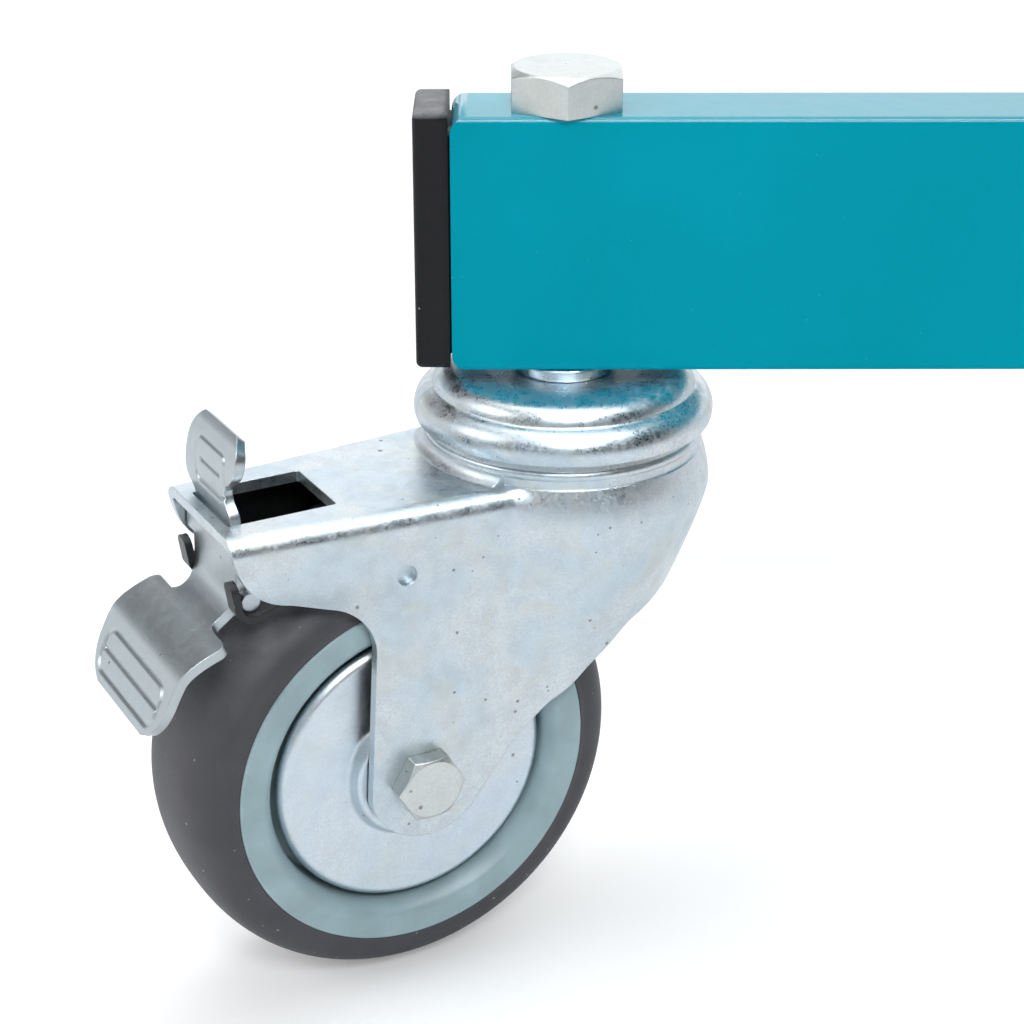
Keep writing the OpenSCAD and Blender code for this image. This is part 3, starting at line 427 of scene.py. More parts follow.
def fork_block(s, inset, bend_rows, rows, cols):
    """The fork as a solid: rings of half width(x, depth) on a grid of depth and place round it."""
    top = s["arm_top"] + inset
    radius = s["bend"] - inset
    foot = AXLE_DROP + 2 * s["leg_end"]
    bend = top + radius * (1 - np.cos(np.pi / 2 * np.arange(bend_rows) / bend_rows))
    depth = np.concatenate([bend, np.linspace(top + radius, foot, rows)])[:, None]
    back_radius, centre = skirt(s, depth)
    x0 = centre - back_radius + inset
    x1 = s["arm_end"] + s["bend"] + inset
    x = x0 + (x1 - x0) * (np.arange(1, cols + 1) / cols)[None, :] ** 2
    half = fork_half(s, x, depth, inset)
    level = np.repeat(-depth, cols, axis=1)
    near = np.stack([x, half, level], axis=-1)
    far = np.stack([x, -half, level], axis=-1)[:, ::-1]
    nose = np.stack([x0, np.zeros_like(x0), -depth], axis=-1)
    grid = np.concatenate([nose, near, far], axis=1)
    count = grid.shape[1]
    points = grid.reshape(-1, 3)
    wall = outward(points, quads(len(depth), count, False, True))
    last = (len(depth) - 1) * count
    lid = list(range(count - 1, -1, -1))
    floor = list(range(last, last + count))
    return points, [*wall.tolist(), lid, floor]


def fork_outline(s):
    """The fork seen from the side: rear edge, leg's round end, crotch, arm and mouth."""
    shares = np.array([[-0.8, 0.1], [-0.8, 0.53], [-0.55, 0.56], [-0.36, 0.595], [-0.175, 0.636],
                       [-0.058, 0.663], [0.027, 0.709], [0.139, 0.765], [0.237, 0.822],
                       [0.349, 0.861], [0.439, 0.909], [0.544, 0.965], [0.61, 1.01]])
    rear = shares * [AXLE_OFFSET, -AXLE_DROP]
    low = s["arm_top"] + 10.6
    lip = s["arm_end"] - 4.9
    return np.concatenate([rear[:1], through(rear[1:], 8),
                           arc(AXLE_OFFSET - 0.8, -AXLE_DROP, s["leg_end"], 212, 348, 60),
                           arc(AXLE_OFFSET + 16.6, 24.3 - AXLE_DROP, 9, 180, 104, 40),
                           corner_cut([[lip - 4, -low - 0.9], [lip - 0.9, -low - 0.2], [lip + 1.6, 1.3 - low],
                                       [s["arm_end"] - 1.2, 4.2 - low], [s["arm_end"] - 0.1, 8.4 - low],
                                       [s["arm_end"], -s["arm_top"] - 0.9]]),
                           [[s["arm_end"], 0], [rear[0, 0], 0]]])


def mark_inside(s, mesh):
    """Marks the fork's inner faces, which the zinc finish darkens with painted shade: further in than three
    quarters of the sheet, and than the arm's mouth."""
    centre = np.empty(3 * len(mesh.polygons))
    mesh.polygons.foreach_get("center", centre)
    away = centre.reshape(-1, 3) - [SWIVEL.x, SWIVEL.y, RAIL_LOW.z]
    x, y, depth = (away @ np.array(axis) / MM for axis in (OUTWARD, ACROSS, (0.0, 0.0, -1.0)))
    inset = 0.75 * s["fork_sheet"]
    mouth_x = s["arm_end"] - 7
    inside = (depth > s["arm_top"] + inset) & (np.abs(y) < fork_half(s, x, depth, inset)) & (x < mouth_x)
    mark = mesh.attributes.new("inside", "FLOAT", "FACE")
    mark.data.foreach_set("value", inside.astype(np.float32))


def crown_block(s, inset, foot):
    """The crown as a turned solid: rounded shoulder, a bead, and a waist down to its foot."""
    top = -7.1 - inset
    bend, bead = 1.6, 0.9
    bead_x = s["crown"] - bead - inset
    shoulder = s["crown"] - 1 - inset - bend
    waist = s["crown"] - 0.35 - inset
    return dome(np.concatenate([[[0, top]], arc(shoulder, top - bend, bend, 90, 0, 24),
                                arc(bead_x, 2.1 - s["arm_top"], bead, 60, -60, 24),
                                [[waist, -s["arm_top"]], [waist, -foot], [0, -foot]]]))


def neck_fillet(s):
    """Fillet between the arm's top plate and the crown: a quarter hollow carried round it."""
    foot = s["crown"] + NECK_FILLET
    inside = s["crown"] - 1.8
    low = -s["arm_top"] - 0.9
    curve = arc(foot, NECK_FILLET - 0.12 - s["arm_top"], NECK_FILLET, 268, 190, 24)
    return revolve(np.concatenate([[[inside, low], [foot, low]], curve, [[inside, curve[-1, 1]]]]))


def tube_between(radius, low, high, steps=96):
    """A plain round cutter about Z."""
    return dome(np.array([[0, high], [radius, high], [radius, low], [0, low]]), steps)


def sideways(made, x, z, offset=0.0):
    """A shape drawn about Z, turned to lie along the fork's crosswise direction."""
    points, faces = made
    return np.stack([points[:, 0] + x, points[:, 2] + offset, z - points[:, 1]], axis=1), faces


def box_between(low, high):
    """A plain box used as a cutter."""
    outline = np.array([[low[0], low[2]], [high[0], low[2]], [high[0], high[2]], [low[0], high[2]]], float)
    return prism(outline, low[1], high[1])


def dimples(s, low, high, out):
    """A round peg for each leg, drawn along the axle from low to high, starting at a distance
    out from the leg's inside."""
    x, z = AXLE_OFFSET + 2, 36 - AXLE_DROP
    wall = float(panel_width(s, x, -z)) - s["fork_sheet"]
    points, faces = tube_between(s["dimple"], low, high, 64)
    return [sideways((points * [1, side, side], faces), x, z, side * (wall + out)) for side in (-1, 1)]


def pedal_line(s, face_x, height, mouth_top):
    """The pedal's front seen from the side, in X and Z: down the tab and the face in the arm's
    mouth, out over the saddle and down the pad, with its corners cut smooth."""
    t = s["pedal_sheet"]
    top = s["arm_top"]
    crease, saddle, knee = 26.3, 30.7, 34.6
    saddle_x, knee_x = face_x + 7.8, face_x + 12.8
    slope = math.radians(65)
    bent = [[face_x - 2.3, height - top], [face_x - 0.99, 0.89 * height - top],
            [face_x - 0.23, 0.65 * height - top], [face_x, 0.25 * height - top],
            [face_x - t / 8, -top], [face_x, -mouth_top], [face_x, t / 2 - crease],
            [face_x + t / 2, -crease - t / 2], [face_x + 2 * t, -(crease + 2 * saddle) / 3],
            [saddle_x, -saddle], [(saddle_x + knee_x) / 2 + t / 2, t / 8 - (saddle + knee) / 2],
            [knee_x, -knee],
            [knee_x + s["pad_length"] * math.cos(slope), -knee - s["pad_length"] * math.sin(slope)]]
    return along(corner_cut(bent, 3), 300)


def pedal_widths(s, x, z, up, shoulder, mouth_top):
    """How far the pedal reaches to its two sides at each point of its line. The tab's edges are
    drawn by share of its half width and height; below it the width steps at the mouth and at the
    lugs, narrows to a neck, and widens to the pad with quarter circles at its corners."""
    edge_left = corner_cut([[-0.68, 0], [-0.7, 0.06], [-0.98, 0.17], [-1.02, 0.3], [-0.98, 0.5],
                            [-0.88, 0.72], [-0.78, 0.88], [-0.66, 0.98], [-0.6, 1]], 2)
    edge_right = corner_cut([[0.72, 0], [0.7, 0.1], [0.54, 0.2], [0.46, 0.3], [0.52, 0.4], [0.74, 0.5],
                             [0.88, 0.62], [0.92, 0.76], [0.86, 0.88], [0.72, 0.96], [0.6, 1]], 2)
    foot = s["window_half"] - 0.15
    mouth = s["arm_end_half"] - s["fork_sheet"] - 0.3
    inner = mouth - 2.6
    mouth_low, neck_z = -20.9, -28.2
    neck, fillet_r, tip_r = 7.0, 1.6, 6.0
    taper = inner + (neck - inner) * smooth_clamp((LUG_Z - z) / (LUG_Z - neck_z))
    above = [z > -mouth_top, z > mouth_low, z > LUG_Z, z > neck_z]
    body = np.select(above, [foot, mouth, inner, taper], neck)
    fillet = neck + fillet_r - quarter(fillet_r, x - shoulder + fillet_r)
    wide = s["pad_half"] - fillet_r + quarter(fillet_r, shoulder + fillet_r - x)
    tip = s["pad_half"] - tip_r + quarter(tip_r, z[-1] + tip_r - z)
    lower = np.where(x < shoulder - fillet_r, body, np.where(x < shoulder, fillet, np.minimum(wide, tip)))
    half = np.where(z < neck_z, lower, body)
    left = np.interp(up, edge_left[:, 1], edge_left[:, 0] * s["tab_half"])
    right = np.interp(up, edge_right[:, 1], edge_right[:, 0] * s["tab_half"])
    return np.where(up > 0, left, -half), np.where(up > 0, right, half)


def pressed_lines(across, down, half_w, half_h, corner, width, reach):
    """Depth of pressed lines, from 0 to 1: a rounded rectangle's outline and a line through its
    middle, each falling as exp(-(away / width) ** 2)."""
    dx = np.abs(across) - half_w + corner
    dy = np.abs(down) - half_h + corner
    outside = np.sqrt(np.maximum(dx, 0) ** 2 + np.maximum(dy, 0) ** 2)
    away = outside + np.minimum(np.maximum(dx, dy), 0) - corner
    middle = np.exp(-(down / width) ** 2) * (np.abs(across) < reach)
    return np.maximum(np.exp(-(away / width) ** 2), middle)


def thick_sheet(front, back):
    """A closed sheet from the grids of its two faces: each row a loop of points over the front
    and back again, and the first and last row closed strip by strip."""
    loop = np.concatenate([front, back[:, ::-1]], axis=1)
    points = loop.reshape(-1, 3)
    rows, ring = loop.shape[:2]
    col = np.arange(front.shape[1] - 1)
    last = (rows - 1) * ring
    first_end = np.stack([col + 1, ring - 2 - col, ring - 1 - col, col], axis=1)
    last_end = np.stack([last + ring - 1 - col, last + ring - 2 - col, last + col + 1, last + col], axis=1)
    return points, outward(points, np.concatenate([quads(rows, ring, False, True), first_end, last_end]))


# Nodes

class Wiring:
    """Puts nodes into one tree. An argument is a socket to link or a value to set."""

    def __init__(self, tree, groups=None):
        self.tree = tree
        self.groups = groups

    def join(self, value, socket):
        """Links a socket to an input, or sets the input's own value."""
        if isinstance(value, bpy.types.NodeSocket):
            self.tree.links.new(value, socket)
        else:
            socket.default_value = value

    def put(self, kind, inputs=None, **settings):
        """A node with its settings and its inputs."""
        node = self.tree.nodes.new(kind)
        for key, value in settings.items():
            setattr(node, key, value)
        for key, value in (inputs or {}).items():
            self.join(value, node.inputs[key])
        return node

    def maths(self, operation, first, second, clamp=False):
        """One Math node."""
        node = self.put("ShaderNodeMath", {0: first, 1: second}, operation=operation, use_clamp=clamp)
        return node.outputs[0]

    def times(self, first, second):
        """Product of two values."""
        return self.maths("MULTIPLY", first, second)

    def plus(self, first, second, clamp=False):
        """Sum of two values, held between 0 and 1 where asked."""
        return self.maths("ADD", first, second, clamp)

    def between(self, value, low, high, start=0.0, end=1.0):
        """A value mapped from one range to another and held inside it."""
        node = self.put("ShaderNodeMapRange", {0: value, 1: low, 2: high, 3: start, 4: end})
        return node.outputs[0]

    def mixed(self, share, first, second):
        """Colours mixed by a share."""
        return self.put("ShaderNodeMix", {0: share, 6: first, 7: second}, data_type="RGBA").outputs[2]

    def noise(self, place, size, **inputs):
        """Noise whose patches have a size in millimetres."""
        scale = self.maths("DIVIDE", 1.0, size)
        return self.put("ShaderNodeTexNoise", {"Vector": place, "Scale": scale, **inputs}).outputs[0]

    def cells(self, place, scale, **inputs):
        """Voronoi cells: the distance from each cell's point, and the cell's own random numbers."""
        node = self.put("ShaderNodeTexVoronoi", {"Vector": place, "Scale": scale, **inputs})
        chance = self.put("ShaderNodeSeparateColor", {0: node.outputs["Color"]})
        return node.outputs["Distance"], chance.outputs

    def dot(self, first, second):
        """Cosine of the angle between two directions."""
        node = self.put("ShaderNodeVectorMath", {0: first, 1: second}, operation="DOT_PRODUCT")
        return node.outputs["Value"]

    def moved(self, place, by):
        """A place shifted by millimetres, so that a pattern used twice doesn't repeat."""
        return self.put("ShaderNodeMapping", {0: place, 1: by}).outputs[0]

    def split(self, vector):
        """X, Y and Z of a vector."""
        return self.put("ShaderNodeSeparateXYZ", {0: vector}).outputs

    def upward(self):
        """How far a face points up, from -1 to 1."""
        return self.split(self.put("ShaderNodeNewGeometry").outputs["Normal"])[2]

    def bump(self, strength, distance, height, normal):
        """A normal tilted by a height, whose full step is the distance in metres."""
        node = self.put("ShaderNodeBump", {"Strength": strength, "Distance": distance,
                                           "Height": height, "Normal": normal})
        return node.outputs[0]

    def effect(self, name, **inputs):
        """One of the shared effects with its own values: its outputs."""
        return self.put("ShaderNodeGroup", inputs, node_tree=self.groups[name]).outputs


# Each effect below takes its group's wiring and its inputs, and gives its outputs by name

def plated_grain(w, i):
    """Fine noise with a quarter of flakes."""
    fine = w.noise(i["Place"], i["Cell"], Detail=4.0, Roughness=0.6)
    flake = w.cells(i["Place"], w.times(w.maths("DIVIDE", 1.0, i["Cell"]), 0.8))[1][0]
    return {"Tone": w.plus(w.times(fine, 0.75), w.times(flake, 0.25))}


def specks(w, i):
    """A spot of varied size in a chosen share of cells."""
    distance, chance = w.cells(i["Place"], w.maths("DIVIDE", 1.0, i["Spacing"]))
    radius = w.times(i["Size"], w.plus(chance[1], 0.3))
    inside = w.between(w.maths("SUBTRACT", distance, radius), 0.02, -0.02)
    return {"Mask": w.times(inside, w.maths("LESS_THAN", chance[0], i["Share"]))}


def scratches(w, i):
    """Thin lines along two turned directions, in a chosen share of long narrow cells."""
    masks = []
    for turn in ((0.3, 0.2, 0.5), (1.1, -0.4, 2.3)):
        along_x, across_y, across_z = w.split(w.put("ShaderNodeMapping", {0: i["Place"], 2: turn}).outputs[0])
        narrow = w.times(i["Width"], 9.0)
        squeezed = w.put("ShaderNodeCombineXYZ", {0: w.maths("DIVIDE", along_x, i["Length"]),
                                                  1: w.maths("DIVIDE", across_y, narrow),
                                                  2: w.maths("DIVIDE", across_z, narrow)}).outputs[0]
        distance, chance = w.cells(squeezed, 1.0, Randomness=1.0)
        line = w.between(distance, 0.16, 0.06)
        masks.append(w.times(line, w.maths("LESS_THAN", chance[0], i["Share"])))
    return {"Mask": w.maths("MAXIMUM", *masks)}


def cloudy_tint(w, i):
    """Slow noise held between two levels."""
    slow = w.noise(i["Place"], i["Size"], Detail=2.0, Roughness=0.5, Distortion=0.4)
    return {"Mask": w.between(slow, i["Low"], i["High"])}


def worn_and_highlit_edge(w, i):
    """How far the rounded normal turns from the plain one, and the rounded normal. Finishes use the first to
    lighten edges, as rubbed wear and as a painted highlight.
    """
    rounded = w.put("ShaderNodeBevel", {"Radius": i["Radius"]}, samples=6).outputs[0]
    match = w.dot(rounded, w.put("ShaderNodeNewGeometry").outputs["Normal"])
    return {"Mask": w.between(w.maths("SUBTRACT", 1.0, match), i["Start"], i["Full"]), "Normal": rounded}


def dust_and_top_sheen(w, i):
    """Patches of dust and of painted sheen on the faces that point up, which make these faces paler."""
    up = w.between(w.upward(), 0.2, 0.9)
    drift = w.noise(i["Place"], i["Size"], Detail=6.0, Roughness=0.7)
    return {"Mask": w.times(w.times(up, w.between(drift, 0.25, 0.75, 0.3, 1.0)), i["Amount"])}


def fine_relief(w, i):
    """Noise as a height, and as a bump of up to 0.2 mm on a normal."""
    waves = w.noise(i["Place"], i["Cell"], Detail=2.0, Roughness=0.5)
    return {"Height": waves, "Normal": w.bump(i["Depth"], 0.0002, waves, i["Normal"])}


# Each shared effect with its inputs; those without a value take a vector
EFFECTS = (
    ("Plated grain", plated_grain, {"Place": None, "Cell": 0.5}),
    ("Specks", specks, {"Place": None, "Spacing": 1.0, "Size": 0.1, "Share": 0.3}),
    ("Scratches", scratches, {"Place": None, "Length": 6.0, "Width": 0.12, "Share": 0.06}),
    ("Cloudy tint", cloudy_tint, {"Place": None, "Size": 12.0, "Low": 0.45, "High": 0.7}),
    ("Worn and highlit edge", worn_and_highlit_edge, {"Radius": 0.0003, "Start": 0.02, "Full": 0.25}),
    ("Dust and top sheen", dust_and_top_sheen, {"Place": None, "Size": 3.0, "Amount": 0.3}),
    ("Fine relief", fine_relief, {"Place": None, "Cell": 0.6, "Depth": 0.1, "Normal": None}))


def build_groups():
    """The effects that several finishes share, each built once as a node group."""
    groups = {}
    for name, effect, inputs in EFFECTS:
        tree = bpy.data.node_groups.new(name, "ShaderNodeTree")
        for label, value in inputs.items():
            kind = "NodeSocketVector" if value is None else "NodeSocketFloat"
            socket = tree.interface.new_socket(label, in_out="INPUT", socket_type=kind)
            if value is not None:
                socket.default_value = value
        made = effect(Wiring(tree), tree.nodes.new("NodeGroupInput").outputs)
        for label in made:
            kind = "NodeSocketVector" if label == "Normal" else "NodeSocketFloat"
            tree.interface.new_socket(label, in_out="OUTPUT", socket_type=kind)
        ends = tree.nodes.new("NodeGroupOutput").inputs
        for label, socket in made.items():
            tree.links.new(socket, ends[label])
        groups[name] = tree
    return groups


# Finishes

def begin(name, groups):
    """A new material: its wiring, its shader's inputs and Object coordinates in millimetres.
    Its name differs from the slot's, which the frame's own material has."""
    material = bpy.data.materials.new(name + "_finish")
    material.use_nodes = True
    w = Wiring(material.node_tree, groups)
    coords = w.put("ShaderNodeTexCoord").outputs["Object"]
    place = w.put("ShaderNodeMapping", {0: coords, 3: (1 / MM, 1 / MM, 1 / MM)}).outputs[0]
    return w, material.node_tree.nodes["Principled BSDF"].inputs, place


def rgba(value, gain=1.0):
    """A colour times one gain or three, held at 1, with its alpha."""
    gains = gain if isinstance(gain, tuple) else (gain, gain, gain)
    return tuple(min(1.0, v * g) for v, g in zip(value, gains)) + (1.0,)


def plated(name, groups, base, rough, cell=0.45, grain=0.12, tint=0.3, speckled=0.25, scratched=0.05,
           wave=0.0, cool=(0.9, 0.97, 1.06), warm=(1.0, 0.93, 0.78)):
    """Zinc plate: grain in gloss and relief, cloudy warm and cool tints, dark specks, fine
    scratches, edges made brighter as rubbed wear and as a painted highlight, the slow waves of pressed sheet,
    and painted shade that darkens the faces marked inside almost to black."""
    w, shader, place = begin(name, groups)
    moved = w.moved(place, (31.0, 17.0, 9.0))
    mottle = w.effect("Plated grain", Place=place, Cell=cell)["Tone"]
    cooled = w.effect("Cloudy tint", Place=place, Size=13.0, Low=0.4, High=0.6)["Mask"]
    warmed = w.effect("Cloudy tint", Place=moved, Size=6.5, Low=0.52, High=0.66)["Mask"]
    smear = w.effect("Cloudy tint", Place=moved, Size=2.6, Low=0.42, High=0.7)["Mask"]
    speck = w.effect("Specks", Place=place, Spacing=2.4, Size=0.1, Share=speckled)["Mask"]
    pit = w.effect("Specks", Place=moved, Spacing=5.5, Size=0.06, Share=speckled)["Mask"]
    speck = w.maths("MAXIMUM", speck, pit)
    scratch = w.effect("Scratches", Place=place, Length=5.0, Width=0.1, Share=scratched)["Mask"]
    edge_wear_and_highlight = w.effect("Worn and highlit edge", Radius=0.00025, Start=0.03, Full=0.4)
    # Painted shade: the faces marked inside are mixed almost to black, as though no light reached them
    inner = w.put("ShaderNodeAttribute", attribute_name="inside").outputs["Fac"]
    body = w.mixed(w.between(mottle, 0.3, 0.7), rgba(base, 1 - 0.47 * tint), rgba(base, 1 + 0.33 * tint))
    # Among these mixes the edge mask lightens the edges as rubbed wear and as a painted highlight
    for mask, share, gain in ((cooled, min(1.0, 1.6 * tint), cool), (warmed, tint, warm), (speck, 0.75, 0.3),
                              (scratch, 0.5, 1.2), (edge_wear_and_highlight["Mask"], 0.5, 1.15), (smear, 0.5 * tint, 0.62),
                              (inner, 0.97, 0.02)):
        body = w.mixed(w.times(mask, share), body, rgba(base, gain))
    w.join(body, shader["Base Color"])
    gloss = w.between(mottle, 0.35, 0.65, rough * (1 - 0.5 * tint), rough * (1 + tint))
    for mask, more in ((smear, 0.4 * tint), (inner, 0.4), (speck, 0.2)):
        gloss = w.plus(gloss, w.times(mask, more))
    w.join(w.plus(gloss, w.times(scratch, 0.12), clamp=True), shader["Roughness"])
    slow = w.effect("Fine relief", Place=place, Cell=9.0, Depth=wave, Normal=edge_wear_and_highlight["Normal"])["Normal"]
    height = w.maths("SUBTRACT", w.times(mottle, grain), w.times(speck, 0.4))
    w.join(w.bump(0.5, 0.00005, height, slow), shader["Normal"])
    shader["Metallic"].default_value = 1.0


def gloss_paint(name, groups, base):
    """Gloss paint on the tube: fine waves, a clear coat, dark and pale dust specks, dust and painted sheen
    that pale the faces that point up, thin edges.
    """
    w, shader, place = begin(name, groups)
    cloud = w.effect("Cloudy tint", Place=place, Size=30.0, Low=0.3, High=0.75)["Mask"]
    dark = w.effect("Specks", Place=place, Spacing=3.0, Size=0.05, Share=0.25)["Mask"]
    moved = w.moved(place, (7.0, 3.0, 5.0))
    pale = w.effect("Specks", Place=moved, Spacing=1.6, Size=0.06, Share=0.08)["Mask"]
    edge = w.effect("Worn and highlit edge", Radius=0.0003, Start=0.1, Full=0.5)["Normal"]
    dust_and_sheen = w.effect("Dust and top sheen", Place=place, Size=5.0, Amount=0.14)["Mask"]
    body = w.mixed(cloud, rgba(base, 0.93), rgba(base, 1.05))
    body = w.mixed(w.times(dark, 0.4), body, rgba(base, 0.5))
    body = w.mixed(w.times(pale, 0.12), body, rgba(tone(190, 225, 232)))
    # Dust and painted sheen: the faces that point up are made a paler grey
    body = w.mixed(dust_and_sheen, body, rgba(tone(196, 208, 212)))
    w.join(body, shader["Base Color"])
    rough = w.plus(w.between(cloud, 0.0, 1.0, 0.24, 0.3), w.times(pale, 0.3), clamp=True)
    w.join(rough, shader["Roughness"])
    relief = w.effect("Fine relief", Place=place, Cell=1.1, Depth=0.1, Normal=edge)["Normal"]
    w.join(w.bump(0.5, 0.00008, w.maths("MAXIMUM", dark, pale), relief), shader["Normal"])
    w.join(w.between(w.upward(), 0.2, 0.6, 0.06, 0.85), shader["Coat Weight"])
    shader["Coat Roughness"].default_value = 0.06
    shader["Specular IOR Level"].default_value = 0.0


def moulded(name, groups, base, rough, cell=0.35, depth=0.25, sheen_dust_amount=0.12, speckled=0.15, shine=0.5):
    """Moulded plastic: fine grain, dust and painted sheen on the faces that point up, and edges smoothed by
    the mould, lightened as wear and as a painted highlight.
    """
    w, shader, place = begin(name, groups)
    edge_wear_and_highlight = w.effect("Worn and highlit edge", Radius=0.0003, Start=0.05, Full=0.4)
    relief = w.effect("Fine relief", Place=place, Cell=cell, Depth=depth, Normal=edge_wear_and_highlight["Normal"])
    cloud = w.effect("Cloudy tint", Place=place, Size=8.0, Low=0.35, High=0.7)["Mask"]
    dust_and_sheen = w.effect("Dust and top sheen", Place=place, Size=4.0, Amount=sheen_dust_amount)["Mask"]
    speck = w.effect("Specks", Place=place, Spacing=1.8, Size=0.1, Share=speckled)["Mask"]
    body = w.mixed(cloud, rgba(base, 0.88), rgba(base, 1.12))
    body = w.mixed(w.times(relief["Height"], 0.25), body, rgba(base, 1.3))
    # Edges lightened: rubbed wear and a painted highlight
    body = w.mixed(w.times(edge_wear_and_highlight["Mask"], 0.25), body, rgba(base, 1.8))
    # Dust and painted sheen pale the faces that point up, with a few pale specks
    body = w.mixed(w.maths("MAXIMUM", dust_and_sheen, w.times(speck, 0.4)), body, rgba(tone(200, 202, 205)))
    w.join(body, shader["Base Color"])
    gloss = w.between(relief["Height"], 0.3, 0.7, rough * 0.9, rough * 1.15)
    w.join(w.plus(gloss, w.times(dust_and_sheen, 0.5), clamp=True), shader["Roughness"])
    w.join(relief["Normal"], shader["Normal"])
    shader["Specular IOR Level"].default_value = shine


def floor_paper(name, groups, base):
    """Pale floor that reads as white, far from the lamps too, and keeps the object's shadow."""
    w, shader, place = begin(name, groups)
    fibre = w.put("ShaderNodeTexNoise", {"Vector": place, "Scale": 0.4, "Detail": 3.0}).outputs[0]
    w.join(w.mixed(fibre, rgba(base, 0.995), rgba(base, 1.005)), shader["Base Color"])
    shader["Roughness"].default_value = 0.9
    shader["Specular IOR Level"].default_value = 0.1
    path = w.put("ShaderNodeLightPath").outputs
    away = w.put("ShaderNodeVectorMath", {0: place}, operation="LENGTH").outputs["Value"]
    seen = w.times(path["Is Camera Ray"], w.between(away, 600.0, 1800.0, 0.24, 1.0))
    shader["Emission Color"].default_value = (1.0, 1.0, 1.0, 1.0)
    w.join(w.plus(seen, w.times(path["Is Glossy Ray"], 0.05)), shader["Emission Strength"])


# Operators

class CASTOR_OT_finishes(bpy.types.Operator):
    """Builds the shared effects and every finish"""

    bl_idname = "castor.finishes"
    bl_label = "Finishes"

    def execute(self, context):
        look = context.scene.castor_colours
        groups = build_groups()
        gloss_paint("teal_paint", groups, look.paint)
        moulded("black_plastic", groups, look.plastic, 0.42, cell=0.25, depth=0.3, sheen_dust_amount=0.6,
                speckled=0.12, shine=0.2)
        plated("bolt_zinc", groups, look.bolt, 0.35, cell=0.35, grain=0.2, tint=0.18, speckled=0.4,
               cool=(0.86, 0.95, 1.0), warm=(1.0, 0.94, 0.8))
        plated("zinc_plate", groups, look.plate, 0.32, cell=0.25, grain=0.15, speckled=0.4,
               scratched=0.12, wave=0.2, cool=(0.76, 0.88, 0.96))
        plated("race_zinc", groups, look.plate, 0.28, cell=0.3, grain=0.28, tint=0.35, speckled=0.03,
               scratched=0.03, wave=0.25, cool=(0.74, 0.88, 0.98))
        plated("guard_zinc", groups, look.guard, 0.33, cell=0.25, grain=0.15, tint=0.2, wave=0.2,
               cool=(0.8, 0.92, 1.0))
        plated("pedal_zinc", groups, look.pedal, 0.33, cell=0.25, grain=0.08, tint=0.12, wave=0.1)
        plated("ball_steel", groups, look.ball, 0.12, tint=0.05, speckled=0.05, scratched=0.01)
        moulded("grey_rim", groups, look.rim, 0.38, cell=0.5, depth=0.12, sheen_dust_amount=0.06, speckled=0.05)
        moulded("tread_rubber", groups, look.tread, 0.5, cell=0.22, depth=0.35, sheen_dust_amount=0.25, speckled=0.3)
        moulded("black_steel", groups, look.black, 0.3, cell=0.3, depth=0.15, sheen_dust_amount=0.2, speckled=0.2)
        floor_paper("floor_paper", groups, look.ground)
        return {"FINISHED"}


